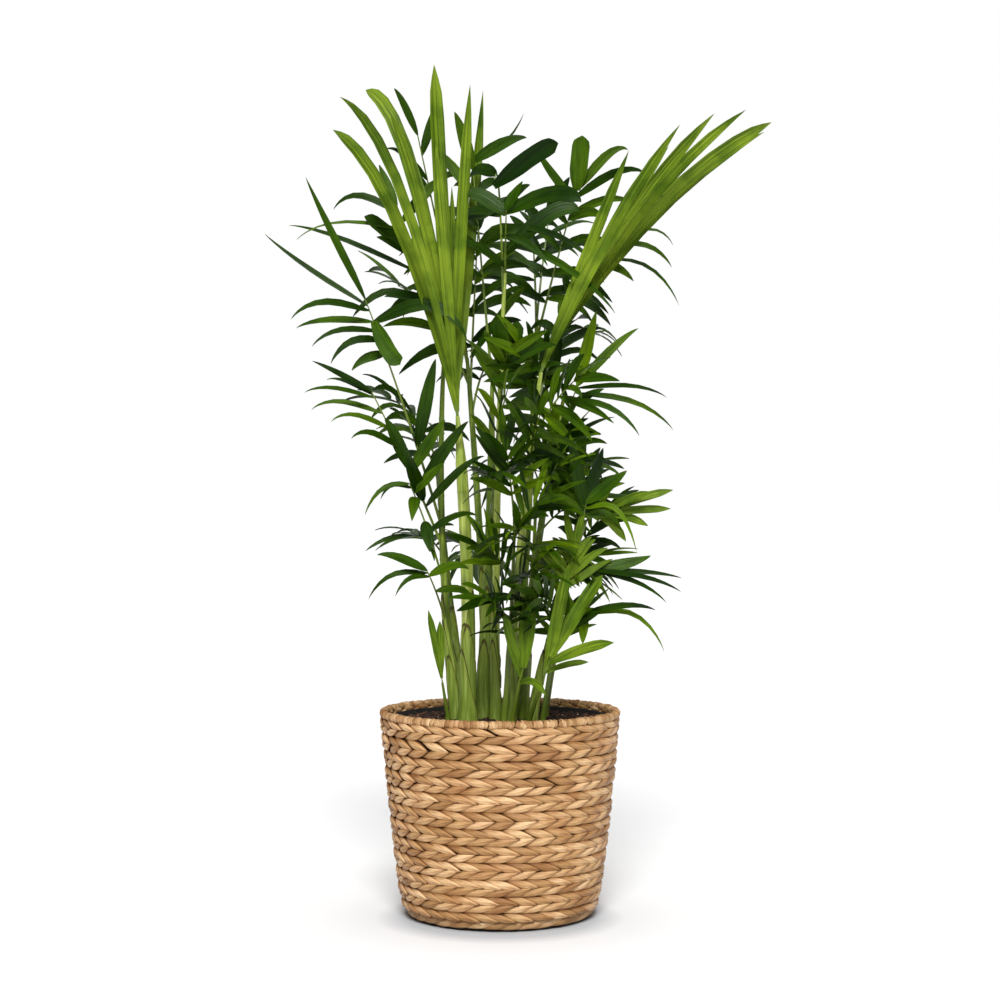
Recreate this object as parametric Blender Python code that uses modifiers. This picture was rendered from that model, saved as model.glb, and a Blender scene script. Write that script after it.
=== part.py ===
"""Potted parlor palm: a clump of slender stems with feathered fronds, in a braided basket.

Metres, +Z up. The origin is the middle of the basket's flat underside, and the front faces -Y.
Sizes in the tables are millimetres and are turned to metres by MM.
"""
import math
import random
from collections import namedtuple

import bmesh
import bpy
from mathutils import Vector
from mathutils.bvhtree import BVHTree

MM = 0.001
GAP = 0.3 * MM
SEED = 27
UP = Vector((0.0, 0.0, 1.0))

# The basket: a braided wall that widens towards the rim, with a rolled edge.
BASKET_HEIGHT = 205 * MM
BASKET_RIM_RADIUS = 120 * MM
BASKET_WAIST_RADIUS = 98 * MM
BASKET_FOOT_RADIUS = 84 * MM
BASKET_FOOT_HEIGHT = 15 * MM
BASKET_WALL = 7 * MM
BASKET_FLOOR = 8 * MM
BASKET_FLARE = 0.8
WALL_BANDS = 5
RIM_ROLL = 3.4 * MM
RIM_STEPS = 4
TURN_STEPS = 36
TURN_WELD = 0.1 * MM
SHARP_EDGE = math.radians(50)

# The nursery liner and the potting soil in it.
LINER_TOP = 197 * MM
LINER_WALL = 1.5 * MM
LINER_TOP_GAP = 1.5 * MM
LINER_FOOT_GAP = 2 * MM
SOIL_TOP = 193 * MM
SOIL_CROWN = 3 * MM
SOIL_FLAT_SHARE = 0.62

# Stems and ribs. A rib is thicker at its base the longer it is.
STEM_POINTS = 7
STEM_CUT = 5 * MM
FLARE_REACH = 14 * MM
FLARE_GAIN = 0.35
RIB_POINTS = 5
SHORT_RIB_POINTS = 4
RIB_BASE = 1.1 * MM
RIB_GAIN = 2.4 * MM
RIB_END = 0.95 * MM
RIB_BEND = 0.45
SEAT_GAP = 0.4 * MM
TOP_RADIUS = 1.9 * MM
SEAT_MOVES = 3
SEAT_STEP = 0.15 * MM
BASE_REACH = 1.2
TUBE_TILT = math.radians(45)
TUBE_WELD = 0.01 * MM

# Leaflets. One that would touch another piece is turned and shortened a little at each new try, and
# is left out after the last.
LEAF_THICKNESS_SHARE = 0.014
LEAF_MIN_THICKNESS = 0.9 * MM
LEAF_ROOT_WIDTH = 1.1 * MM
LEAF_ROOT_THICKNESS = 0.6 * MM
LEAF_WIDEST = 0.42
LEAF_SHOULDER = 0.74
LEAF_SHOULDER_SHARE = 0.72
LONG_LEAF = 115 * MM
FAN_LEAF = 150 * MM
BLUNT_WIDTH = 16 * MM
BLUNT_SHOULDER = 0.88
BLUNT_SHARE = 0.85
BOWED_LEAF = 6 * MM
BOW_RISE = 1.3
BOW_FALL = 0.8
BOW_GAIN = 4.04
LOW_LIFT = 0.12
LIFT_VARIES = (-0.3, 0.42)
LIFT_STEP = 0.04
TURN_STEP = 0.05
SHORTEN_STEP = 0.04
PAIR_OFFSET = 0.2
PAIR_STAGGER = 0.012
LAST_PLACE = 0.94
END_PLACE = 0.985
YOUNG_REACH_DROP = 0.35
YOUNG_SPREAD = 1.1
YOUNG_SPREAD_DROP = 0.4
REACH_SWELL = 0.26
SWELL_FROM = 0.2
SWELL_TO = 0.9
SPREAD = 1.3
SPREAD_DROP = 0.55
END_SPREAD = 0.3
END_FALL = 0.5
LENGTH_VARIES = (0.9, 1.08)
WIDTH_VARIES = (0.88, 1.08)
FALL_VARIES = (0.7, 1.3)
ANGLE_VARIES = (-0.1, 0.1)
SWAY = math.radians(13)
SWAY_TURN = 1.7
TRIES = 9

# Blades with their own rows lean to the front and to the back by turns, by a share of their length,
# along the line from an eye before the plant, so that they keep their places in the front view.
EYE_DISTANCE = 2.0
EYE_HEIGHT = 413 * MM
DEPTH_SHARE = 0.34
DEPTH_TURN = 2.4
JOIN_SOLVER = "EXACT"

# A stem runs from its foot on the soil to its head, bowed sideways by bow at half height.
Stem = namedtuple("Stem", "foot head bow foot_width head_width")
STEMS = {
    "stem_1": Stem((-44, 4), (-56, 8, 560), (-8, 0), 9, 4.5),
    "stem_2": Stem((-32, -16), (-42, -26, 496), (4, 0), 14, 11),
    "stem_3": Stem((-18, 13), (-8, 24, 530), (2, 0), 13, 6),
    "stem_4": Stem((-4, -3), (5, 2, 640), (-3, 0), 9, 4),
    "stem_5": Stem((9, -21), (40, -44, 538), (-4, 0), 10, 6),
    "stem_6": Stem((22, 9), (64, 8, 515), (-6, 0), 10, 5),
    "stem_7": Stem((32, -15), (84, -34, 392), (-4, 0), 8, 4.5),
    "stem_8": Stem((-12, 36), (-34, 66, 560), (2, 4), 10, 5),
    "stem_9": Stem((16, 40), (38, 62, 600), (2, 0), 10, 5),
    "stem_10": Stem((-36, 30), (-66, 78, 455), (-2, 2), 8, 4.5),
}

# A frond leaves its stem at the node height and its rib ends at tip. Arch is the rib's rise at
# half way as a share of its length, and facing turns its upper side from straight up towards the
# front. Bare is the share of the rib without leaflets, spread is their angle from the rib, fall
# is how far their ends drop and last the length of the end pair, both as shares of the length.
Frond = namedtuple("Frond", "stem node tip arch facing bare pairs length width spread fall last young")
FRONDS = {
    "fan_left": Frond("stem_2", 496, (-63, -12, 705), 0.0, 90, 0.1, 0, 200, 15, 15, 0.0, 0.0, True),
    "fan_right": Frond("stem_5", 538, (160, -40, 712), 0.1, 90, 0.1, 0, 185, 11, 12, 0.0, 0.0, True),
    "frond_1": Frond("stem_8", 552, (-84, 40, 785), 0.0, 60, 0.5, 2, 66, 10, 50, 0.35, 0.0, False),
    "frond_2": Frond("stem_3", 530, (-28, 28, 755), 0.0, 65, 0.5, 3, 62, 12, 52, 0.35, 0.0, False),
    "frond_3": Frond("stem_4", 640, (6, -60, 694), 0.03, 65, 0.25, 0, 76, 12, 48, 0.25, 0.0, False),
    "frond_4": Frond("stem_1", 560, (-104, 12, 706), 0.03, 65, 0.3, 2, 60, 12, 50, 0.3, 0.0, False),
    "frond_5": Frond("stem_8", 530, (-108, 118, 640), 0.14, 0, 0.35, 4, 84, 12, 50, 0.4, 0.8, False),
    "frond_6": Frond("stem_1", 385, (-133, -24, 611), 0.03, 70, 0.45, 0, 100, 10, 50, 0.4, 0.0, False),
    "frond_7": Frond("stem_1", 365, (-126, -34, 519), 0.03, 60, 0.4, 0, 84, 8, 46, 0.4, 0.0, False),
    "frond_8": Frond("stem_1", 325, (-89, -28, 429), 0.06, 60, 0.3, 0, 60, 9, 54, 0.4, 0.0, False),
    "frond_9": Frond("stem_1", 285, (-72, -26, 343), 0.06, 55, 0.3, 0, 64, 10, 50, 0.4, 0.0, False),
    "frond_10": Frond("stem_4", 605, (-6, -16, 724), 0.5, 75, 0.2, 1, 60, 11, 44, 0.3, 0.0, False),
    "frond_11": Frond("stem_8", 520, (-23, 100, 698), 0.05, 35, 0.25, 3, 82, 13, 56, 0.35, 0.7, False),
    "frond_12": Frond("stem_9", 600, (51, 90, 707), 0.05, 40, 0.15, 3, 84, 12, 54, 0.35, 0.7, False),
    "frond_13": Frond("stem_9", 575, (77, 10, 724), 0.02, 70, 0.25, 3, 66, 12, 58, 0.35, 0.0, False),
    "frond_14": Frond("stem_9", 555, (122, 20, 676), 0.08, 50, 0.4, 2, 58, 11, 52, 0.4, 0.0, False),
    "frond_15": Frond("stem_5", 498, (66, 12, 584), 0.1, 55, 0.3, 3, 70, 12, 50, 0.4, 0.9, False),
    "frond_16": Frond("stem_4", 500, (8, -54, 566), 0.05, 70, 0.3, 3, 72, 12, 42, 0.15, 0.0, False),
    "frond_17": Frond("stem_6", 490, (30, -34, 552), 0.08, 65, 0.3, 4, 72, 12, 40, 0.15, 1.0, False),
    "frond_18": Frond("stem_3", 430, (8, -82, 522), 0.08, 60, 0.3, 4, 74, 10, 42, 0.2, 0.8, False),
    "frond_19": Frond("stem_5", 430, (38, -104, 494), 0.1, 55, 0.3, 4, 74, 10, 44, 0.25, 0.8, False),
    "frond_20": Frond("stem_6", 455, (77, -15, 526), 0.04, 70, 0.35, 2, 58, 10, 48, 0.25, 0.0, False),
    "frond_21": Frond("stem_6", 400, (74, 50, 478), 0.1, 15, 0.3, 3, 66, 10, 48, 0.3, 0.9, False),
    "frond_22": Frond("stem_7", 375, (84, -50, 410), 0.04, 70, 0.2, 0, 62, 10, 52, 0.3, 0.0, False),
    "frond_23": Frond("stem_7", 392, (100, -30, 400), 0.08, 60, 0.2, 0, 74, 9, 34, 0.1, 0.0, True),
    "frond_24": Frond("stem_7", 335, (92, -42, 344), 0.1, 60, 0.35, 0, 66, 9, 48, 0.4, 0.0, False),
    "frond_25": Frond("stem_7", 285, (84, -54, 302), 0.14, 55, 0.3, 0, 74, 8, 42, 0.4, 0.0, False),
    "frond_26": Frond("stem_9", 590, (34, 150, 706), 0.14, -20, 0.3, 4, 86, 12, 54, 0.4, 0.8, False),
    "frond_27": Frond("stem_8", 560, (-56, 156, 672), 0.14, -20, 0.25, 4, 86, 12, 54, 0.4, 0.8, False),
    "frond_28": Frond("stem_9", 520, (88, 140, 590), 0.14, -10, 0.35, 3, 82, 12, 54, 0.4, 0.8, False),
    "frond_29": Frond("stem_8", 500, (-6, 166, 560), 0.16, -15, 0.35, 3, 80, 12, 54, 0.4, 0.8, False),
    "frond_30": Frond("stem_10", 455, (-118, 132, 520), 0.14, -10, 0.25, 4, 78, 12, 52, 0.4, 0.8, False),
    "frond_31": Frond("stem_10", 430, (-86, 22, 482), 0.12, 10, 0.35, 4, 66, 10, 50, 0.35, 0.8, False),
    "frond_32": Frond("stem_6", 400, (89, 30, 449), 0.14, 0, 0.35, 3, 64, 11, 52, 0.4, 0.8, False),
    "frond_33": Frond("stem_9", 420, (16, 156, 446), 0.16, -10, 0.4, 3, 74, 11, 54, 0.4, 0.8, False),
    "frond_34": Frond("stem_10", 350, (-84, 14, 376), 0.14, 10, 0.35, 4, 64, 10, 52, 0.35, 0.8, False),
    "frond_35": Frond("stem_8", 330, (-26, 142, 350), 0.16, -10, 0.4, 4, 62, 11, 52, 0.4, 0.8, False),
    "frond_36": Frond("stem_6", 320, (85, 10, 338), 0.16, 0, 0.35, 4, 58, 10, 52, 0.4, 0.8, False),
    "frond_37": Frond("stem_3", 395, (-2, -86, 440), 0.1, 55, 0.35, 4, 70, 10, 42, 0.2, 0.9, False),
    "frond_38": Frond("stem_5", 470, (72, -78, 528), 0.08, 55, 0.3, 3, 66, 11, 46, 0.25, 0.9, False),
}

# Blades that show singly have their own rows: the place on the rib, the tip, the width and how far
# the blade bows up between them.
Blade = namedtuple("Blade", "place tip width bow")
BLADES = {
    "fan_left": (
        Blade(0.36, (-70, -10, 846), 15, 0), Blade(0.30, (-132, -16, 820), 15, 62),
        Blade(0.14, (-154, -24, 813), 10, 56), Blade(0.20, (-148, -4, 801), 9, 50),
        Blade(0.03, (-161, -22, 781), 13, 50), Blade(0.22, (-30, 0, 829), 11, 0),
        Blade(0.10, (-15, -18, 819), 12, 0), Blade(0.24, (-112, 6, 800), 11, 36),
        Blade(0.08, (-92, -20, 745), 10, 24), Blade(0.02, (-52, -20, 724), 10, 0),
        Blade(0.12, (-66, 4, 770), 11, 8), Blade(0.05, (-36, -14, 744), 10, 0),
    ),
    "fan_right": (
        Blade(0.02, (125, -52, 754), 12, 0), Blade(0.06, (140, -32, 742), 9, 4),
        Blade(0.05, (174, -52, 780), 12, 12), Blade(0.10, (170, -28, 760), 9, 12),
        Blade(0.12, (209, -48, 791), 12, 18), Blade(0.14, (202, -24, 775), 9, 16),
        Blade(0.18, (227, -36, 787), 11, 20), Blade(0.22, (243, -44, 793), 11, 22),
        Blade(0.28, (266, -36, 785), 13, 24), Blade(0.16, (264, -22, 775), 11, 26),
        Blade(0.03, (112, -40, 690), 10, 6),
    ),
    "frond_1": (
        Blade(1.0, (-108, 36, 832), 8, 4), Blade(0.92, (-62, 34, 818), 10, 2),
        Blade(0.82, (-116, 30, 768), 9, 8),
    ),
    "frond_2": (
        Blade(1.0, (27, 20, 779), 14, 5), Blade(1.0, (24, 30, 806), 5, -12),
        Blade(0.97, (-46, 24, 806), 13, 2), Blade(0.85, (-68, 20, 768), 11, 5),
    ),
    "frond_3": (
        Blade(1.0, (22, -62, 722), 12, 0), Blade(0.92, (-32, -56, 708), 18, 6),
        Blade(0.96, (79, -60, 701), 16, 12), Blade(0.3, (78, -40, 695), 18, 14),
        Blade(0.1, (-47, -30, 659), 10, 12), Blade(0.6, (46, -50, 640), 9, 8),
    ),
    "frond_4": (
        Blade(1.0, (-122, 20, 752), 10, 0), Blade(0.97, (-167, 4, 703), 8, 16),
        Blade(0.85, (-204, 0, 674), 7, 13), Blade(0.55, (-212, -8, 684), 6, 7),
        Blade(0.66, (-136, -2, 696), 17, 2), Blade(0.9, (-56, 30, 740), 12, 6),
    ),
    "frond_6": (
        Blade(1.0, (-190, -30, 732), 8, -3), Blade(0.97, (-231, -34, 676), 6, -4),
        Blade(0.95, (-205, -40, 589), 8, 14), Blade(0.9, (-202, -20, 583), 8, 6),
        Blade(0.86, (-184, -44, 562), 8, 10), Blade(0.82, (-165, -48, 545), 11, 12),
        Blade(0.76, (-145, -44, 539), 11, 5), Blade(0.9, (-98, -52, 545), 16, -6),
        Blade(0.9, (-32, -54, 567), 15, 28), Blade(0.35, (-62, -40, 551), 14, 4),
    ),
    "frond_7": (
        Blade(1.0, (-184, -40, 550), 8, 1), Blade(0.98, (-171, -30, 531), 6, 5),
        Blade(0.96, (-191, -46, 517), 6, 7), Blade(0.86, (-184, -50, 500), 7, 10),
        Blade(0.76, (-165, -46, 488), 7, 10), Blade(0.64, (-145, -50, 472), 7, 10),
        Blade(0.5, (-113, -54, 492), 13, 4), Blade(0.3, (-92, -48, 470), 14, -4),
        Blade(0.48, (-53, -46, 491), 13, 2), Blade(0.36, (-31, -62, 490), 13, 4),
        Blade(0.26, (-15, -62, 456), 11, 6),
    ),
    "frond_8": (
        Blade(1.0, (-133, -36, 397), 7, 14), Blade(0.95, (-118, -24, 413), 6, 10),
        Blade(0.85, (-86, -46, 392), 12, 5), Blade(0.6, (-68, -46, 362), 13, 2),
        Blade(0.9, (-54, -40, 450), 12, 0), Blade(0.5, (-22, -62, 398), 11, 6),
    ),
    "frond_9": (
        Blade(1.0, (-121, -34, 359), 11, 4), Blade(0.95, (-129, -40, 315), 7, 14),
        Blade(0.88, (-103, -28, 317), 6, 10), Blade(0.9, (-30, -62, 346), 11, 6),
        Blade(0.6, (-26, -60, 317), 10, 6),
    ),
    "frond_10": (
        Blade(1.0, (58, -32, 763), 18, 5), Blade(0.72, (-30, -28, 731), 13, 7),
        Blade(0.25, (114, -42, 596), 8, 12), Blade(0.4, (-35, -20, 691), 14, -2),
        Blade(0.3, (102, -40, 630), 7, 18),
    ),
    "frond_11": (
        Blade(0.2, (26, 30, 628), 17, 3),
    ),
    "frond_13": (
        Blade(1.0, (82, 2, 778), 18, 0), Blade(1.0, (128, -6, 761), 10, 12),
        Blade(0.95, (145, -8, 736), 10, 12), Blade(0.93, (34, -8, 767), 9, -3),
        Blade(0.84, (134, -2, 708), 10, 10),
    ),
    "frond_14": (
        Blade(1.0, (174, 10, 668), 5, 14), Blade(0.95, (172, 4, 645), 7, 12),
        Blade(0.8, (180, 0, 607), 5, 20), Blade(0.92, (96, -2, 648), 13, 6),
    ),
    "frond_16": (
        Blade(0.6, (-2, -68, 588), 16, 0), Blade(0.6, (17, -70, 586), 16, 0),
    ),
    "frond_20": (
        Blade(1.0, (96, -20, 600), 13, 0), Blade(1.0, (136, -26, 583), 10, 4),
        Blade(0.97, (164, -30, 513), 6, 8), Blade(0.9, (170, -38, 480), 6, 14),
        Blade(0.82, (137, -34, 475), 7, 12),
    ),
    "frond_22": (
        Blade(1.0, (124, -56, 441), 13, 0), Blade(0.95, (100, -52, 464), 12, 0),
        Blade(0.8, (67, -50, 481), 14, 0), Blade(0.9, (42, -62, 458), 13, 0),
        Blade(0.85, (133, -64, 361), 6, 26), Blade(0.7, (38, -66, 412), 13, 6),
        Blade(0.6, (118, -56, 384), 9, 10),
    ),
    "frond_23": (
        Blade(1.0, (171, -30, 423), 9, 2), Blade(0.97, (168, -36, 405), 8, 1),
        Blade(0.88, (150, -24, 420), 8, 3), Blade(0.84, (146, -34, 388), 8, 4),
        Blade(0.7, (116, -30, 440), 9, 2), Blade(0.6, (124, -36, 372), 9, 6),
    ),
    "frond_24": (
        Blade(1.0, (178, -44, 336), 6, 3), Blade(0.98, (147, -52, 359), 13, -2),
        Blade(0.93, (177, -48, 323), 6, 6), Blade(0.88, (162, -54, 312), 6, 8),
        Blade(0.8, (56, -62, 376), 12, 2),
    ),
    "frond_25": (
        Blade(1.0, (160, -60, 266), 6, 22), Blade(0.95, (80, -66, 274), 10, 0),
        Blade(0.9, (152, -50, 306), 7, 6), Blade(0.7, (50, -64, 332), 11, 2),
    ),
    "shoot_1": (
        Blade(0.9, (-70, -26, 305), 7, 0), Blade(1.0, (-60, -28, 294), 8, 0),
    ),
    "shoot_2": (
        Blade(0.5, (3, -92, 306), 10, 0), Blade(0.9, (30, -92, 331), 15, 0),
        Blade(0.2, (44, -88, 226), 7, 8),
    ),
    "shoot_5": (
        Blade(0.6, (66, -90, 353), 12, 0), Blade(1.0, (97, -94, 342), 14, 2),
        Blade(0.8, (109, -92, 277), 11, 3), Blade(0.5, (85, -88, 258), 6, 3),
    ),
}

Leaflet = namedtuple("Leaflet", "root along across upper length width fall bow")

# A shoot is a seedling in the same clump. It is one node: its short stem with its fronds fused on.
SHOOTS = {
    "shoot_1": Stem((-52, -14), (-57, -20, 232), (0, 0), 4, 2.4),
    "shoot_2": Stem((12, -52), (19, -70, 240), (0, 0), 5, 2.6),
    "shoot_3": Stem((42, -38), (58, -48, 310), (0, 0), 5, 2.6),
    "shoot_4": Stem((46, 20), (76, 38, 374), (0, 0), 5.5, 2.6),
    "shoot_5": Stem((28, -54), (41, -74, 238), (0, 0), 5, 2.6),
    "shoot_6": Stem((4, -37), (14, -50, 400), (2, 0), 6, 3),
    "shoot_7": Stem((22, -4), (36, -22, 430), (2, 0), 6, 3),
}
SHOOT_FRONDS = (
    Frond("shoot_1", 212, (-58, -24, 240), 0.0, 85, 0.1, 0, 66, 6, 9, 0.0, 0.0, True),
    Frond("shoot_2", 230, (23, -78, 254), 0.04, 85, 0.3, 0, 58, 9, 36, 0.0, 0.0, True),
    Frond("shoot_3", 262, (70, -60, 300), 0.1, 70, 0.3, 3, 50, 8, 38, 0.15, 1.0, False),
    Frond("shoot_3", 284, (38, -76, 322), 0.08, 70, 0.35, 3, 58, 9, 40, 0.15, 0.9, False),
    Frond("shoot_3", 306, (72, -50, 362), 0.04, 75, 0.3, 3, 64, 9, 44, 0.15, 0.9, True),
    Frond("shoot_4", 250, (72, 74, 300), 0.12, 20, 0.35, 3, 50, 9, 46, 0.25, 0.9, False),
    Frond("shoot_4", 300, (56, 86, 350), 0.12, 10, 0.3, 3, 62, 10, 46, 0.3, 0.9, False),
    Frond("shoot_4", 340, (108, 46, 400), 0.1, 25, 0.3, 3, 60, 10, 44, 0.3, 0.9, False),
    Frond("shoot_4", 370, (84, 66, 436), 0.08, 25, 0.3, 3, 62, 10, 44, 0.25, 0.9, False),
    Frond("shoot_5", 230, (49, -82, 262), 0.04, 75, 0.3, 0, 66, 9, 26, 0.0, 0.0, True),
    Frond("shoot_6", 268, (10, -76, 298), 0.12, 50, 0.35, 3, 58, 9, 42, 0.18, 0.9, False),
    Frond("shoot_6", 290, (-14, -84, 318), 0.12, 55, 0.3, 4, 58, 9, 40, 0.18, 0.9, False),
    Frond("shoot_6", 312, (34, -92, 342), 0.12, 50, 0.35, 4, 64, 9, 42, 0.18, 0.9, False),
    Frond("shoot_6", 334, (-20, -80, 368), 0.12, 60, 0.35, 4, 58, 9, 38, 0.15, 0.9, False),
    Frond("shoot_6", 356, (16, -98, 386), 0.1, 55, 0.35, 4, 66, 9, 40, 0.15, 0.9, False),
    Frond("shoot_6", 376, (44, -86, 416), 0.1, 60, 0.35, 3, 66, 9, 40, 0.15, 0.9, False),
    Frond("shoot_6", 396, (6, -66, 462), 0.04, 75, 0.3, 4, 62, 9, 42, 0.15, 0.8, False),
    Frond("shoot_7", 300, (22, -74, 314), 0.12, 50, 0.4, 3, 60, 9, 42, 0.18, 0.9, False),
    Frond("shoot_7", 326, (90, -4, 356), 0.12, 30, 0.35, 3, 60, 9, 46, 0.2, 0.9, False),
    Frond("shoot_7", 350, (30, -90, 366), 0.12, 55, 0.4, 4, 64, 9, 42, 0.15, 0.9, False),
    Frond("shoot_7", 374, (88, 2, 416), 0.1, 30, 0.35, 4, 62, 9, 46, 0.2, 0.9, False),
    Frond("shoot_7", 398, (56, -86, 444), 0.1, 60, 0.35, 4, 64, 9, 42, 0.15, 0.9, False),
    Frond("shoot_7", 426, (56, -46, 478), 0.06, 70, 0.3, 4, 60, 9, 44, 0.15, 0.8, False),
)


def material(name, color, roughness, metallic=0.0):
    """A plain Principled material."""
    made = bpy.data.materials.new(name)
    made.use_nodes = True
    shader = made.node_tree.nodes["Principled BSDF"]
    shader.inputs["Base Color"].default_value = (*color, 1.0)
    shader.inputs["Roughness"].default_value = roughness
    shader.inputs["Metallic"].default_value = metallic
    return made


def start_scene():
    """Empties the scene and returns the collection that holds the plant's parts."""
    for old in list(bpy.data.objects):
        bpy.data.objects.remove(old, do_unlink=True)
    parts = bpy.data.collections.new("potted_parlor_palm")
    bpy.context.scene.collection.children.link(parts)
    return parts


def add_object(name, mesh, coat, collection):
    """Links a mesh as a named object with its material."""
    body = bpy.data.objects.new(name, mesh)
    mesh.materials.clear()
    mesh.materials.append(coat)
    collection.objects.link(body)
    return body


def shade_round(mesh):
    """Smooth shading with the true edges kept sharp."""
    mesh.shade_smooth()
    mesh.set_sharp_from_angle(angle=SHARP_EDGE)


def turned(name, profile, coat, collection):
    """A solid of revolution about Z from a profile that runs down its outer side."""
    mesh = bpy.data.meshes.new(name)
    edges = [(i, i + 1) for i in range(len(profile) - 1)]
    mesh.from_pydata([(radius, 0.0, height) for radius, height in profile], edges, [])
    body = add_object(name, mesh, coat, collection)
    screw = body.modifiers.new("turn", "SCREW")
    screw.steps = TURN_STEPS
    screw.render_steps = TURN_STEPS
    screw.use_merge_vertices = True
    screw.merge_threshold = TURN_WELD
    screw.use_smooth_shade = True


def basket_radius(height):
    """Outer radius of the braided wall: it opens quickly above the foot and slowly to the rim."""
    share = (height - BASKET_FOOT_HEIGHT) / (BASKET_HEIGHT - BASKET_FOOT_HEIGHT)
    return BASKET_WAIST_RADIUS + (BASKET_RIM_RADIUS - BASKET_WAIST_RADIUS) * share ** BASKET_FLARE


def inner_radius(height):
    """Inner radius of the basket at a height."""
    return basket_radius(max(height, BASKET_FOOT_HEIGHT)) - BASKET_WALL


def build_basket(coat, collection):
    """The basket's inner wall, rolled rim, outer wall, rounded foot and flat floor in one turn."""
    roll_centre = BASKET_HEIGHT - RIM_ROLL
    roll_radius = BASKET_RIM_RADIUS - RIM_ROLL
    profile = [(0.0, BASKET_FLOOR), (BASKET_FOOT_RADIUS - BASKET_WALL, BASKET_FLOOR)]
    profile.append((inner_radius(BASKET_FOOT_HEIGHT), BASKET_FOOT_HEIGHT + BASKET_FLOOR))
    profile.append((inner_radius(roll_centre), roll_centre))
    for step in range(RIM_STEPS + 1):
        turn = math.pi * (1.0 - step / RIM_STEPS)
        profile.append((roll_radius + RIM_ROLL * math.cos(turn), roll_centre + RIM_ROLL * math.sin(turn)))
    wall_top = roll_centre - RIM_ROLL
    for band in range(WALL_BANDS + 1):
        height = wall_top + (BASKET_FOOT_HEIGHT - wall_top) * band / WALL_BANDS
        profile.append((basket_radius(height), height))
    profile.append((BASKET_FOOT_RADIUS + BASKET_WALL, BASKET_FOOT_HEIGHT / 3))
    profile.append((BASKET_FOOT_RADIUS, 0.0))
    profile.append((0.0, 0.0))
    turned("basket", profile, coat, collection)


def build_liner(coat, collection):
    """The thin nursery pot that holds the soil. Returns its foot and top radius and its base height."""
    low = BASKET_FLOOR + GAP
    wide = inner_radius(LINER_TOP) - LINER_TOP_GAP
    narrow = BASKET_FOOT_RADIUS - BASKET_WALL - LINER_FOOT_GAP
    profile = [
        (0.0, low + LINER_WALL),
        (narrow - LINER_WALL, low + LINER_WALL),
        (wide - LINER_WALL, LINER_TOP),
        (wide, LINER_TOP),
        (narrow, low),
        (0.0, low),
    ]
    turned("liner", profile, coat, collection)
    return narrow, wide, low


def build_soil(narrow, wide, low, coat, collection):
    """Potting soil that fills the liner, a little higher in the middle but flat under the stems."""
    floor = low + LINER_WALL + GAP
    slope = (wide - narrow) / (LINER_TOP - low)
    side = GAP * 2 + LINER_WALL
    foot_radius = narrow - side
    edge_height = SOIL_TOP - SOIL_CROWN
    edge_radius = narrow + slope * (edge_height - low) - side
    profile = [
        (0.0, SOIL_TOP),
        (edge_radius * SOIL_FLAT_SHARE, SOIL_TOP),
        (edge_radius, edge_height),
        (foot_radius, floor),
        (0.0, floor),
    ]
    turned("soil", profile, coat, collection)


def tube_mesh(name, points, radii, sides_step):
    """A tapered tube through points: a bevelled curve with filled caps, welded to one closed mesh."""
    curve = bpy.data.curves.new(name, "CURVE")
    curve.dimensions = "3D"
    curve.bevel_depth = 1.0
    curve.bevel_resolution = sides_step
    curve.use_fill_caps = True
    spline = curve.splines.new("POLY")
    spline.points.add(len(points) - 1)
    for point, place, radius in zip(spline.points, points, radii):
        point.co = (*place, 1.0)
        point.radius = radius
        point.tilt = TUBE_TILT
    holder = bpy.data.objects.new(name, curve)
    bpy.context.scene.collection.objects.link(holder)
    graph = bpy.context.evaluated_depsgraph_get()
    mesh = bpy.data.meshes.new_from_object(holder.evaluated_get(graph))
    shape = bmesh.new()
    shape.from_mesh(mesh)
    bmesh.ops.remove_doubles(shape, verts=shape.verts, dist=TUBE_WELD)
    bmesh.ops.recalc_face_normals(shape, faces=shape.faces)
    shape.to_mesh(mesh)
    shape.free()
    bpy.data.objects.remove(holder, do_unlink=True)
    bpy.data.curves.remove(curve)
    return mesh


def stem_line(stem):
    """Centre points of a stem and its radius at each, from the flat cut on the soil to its head."""
    foot = Vector((stem.foot[0], stem.foot[1], 0.0)) * MM
    foot.z = SOIL_TOP + GAP
    head = Vector(stem.head) * MM
    bow = Vector((stem.bow[0], stem.bow[1], 0.0)) * MM
    start = foot + UP * STEM_CUT
    points = [foot]
    for step in range(STEM_POINTS):
        share = step / (STEM_POINTS - 1)
        points.append(start.lerp(head, share) + bow * 4 * share * (1 - share))
    radii = []
    for point in points:
        rise = point.z - foot.z
        share = rise / (head.z - foot.z)
        radius = (stem.foot_width + (stem.head_width - stem.foot_width) * share) * MM / 2
        radii.append(radius * (1 + FLARE_GAIN * math.exp(-rise / FLARE_REACH)))
    radii[-1] = min(radii[-1], TOP_RADIUS)
    return points, radii


def along_line(points, radii, height):
    """The place and radius of a stem at a height."""
    for low, high, low_radius, high_radius in zip(points, points[1:], radii, radii[1:]):
        if low.z <= height <= high.z:
            share = (height - low.z) / (high.z - low.z)
            return low.lerp(high, share), low_radius + (high_radius - low_radius) * share
    return points[-1].copy(), radii[-1]


def mesh_lists(mesh):
    """A mesh's corners and faces as plain lists."""
    return [vert.co.copy() for vert in mesh.vertices], [tuple(face.vertices) for face in mesh.polygons]


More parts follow.
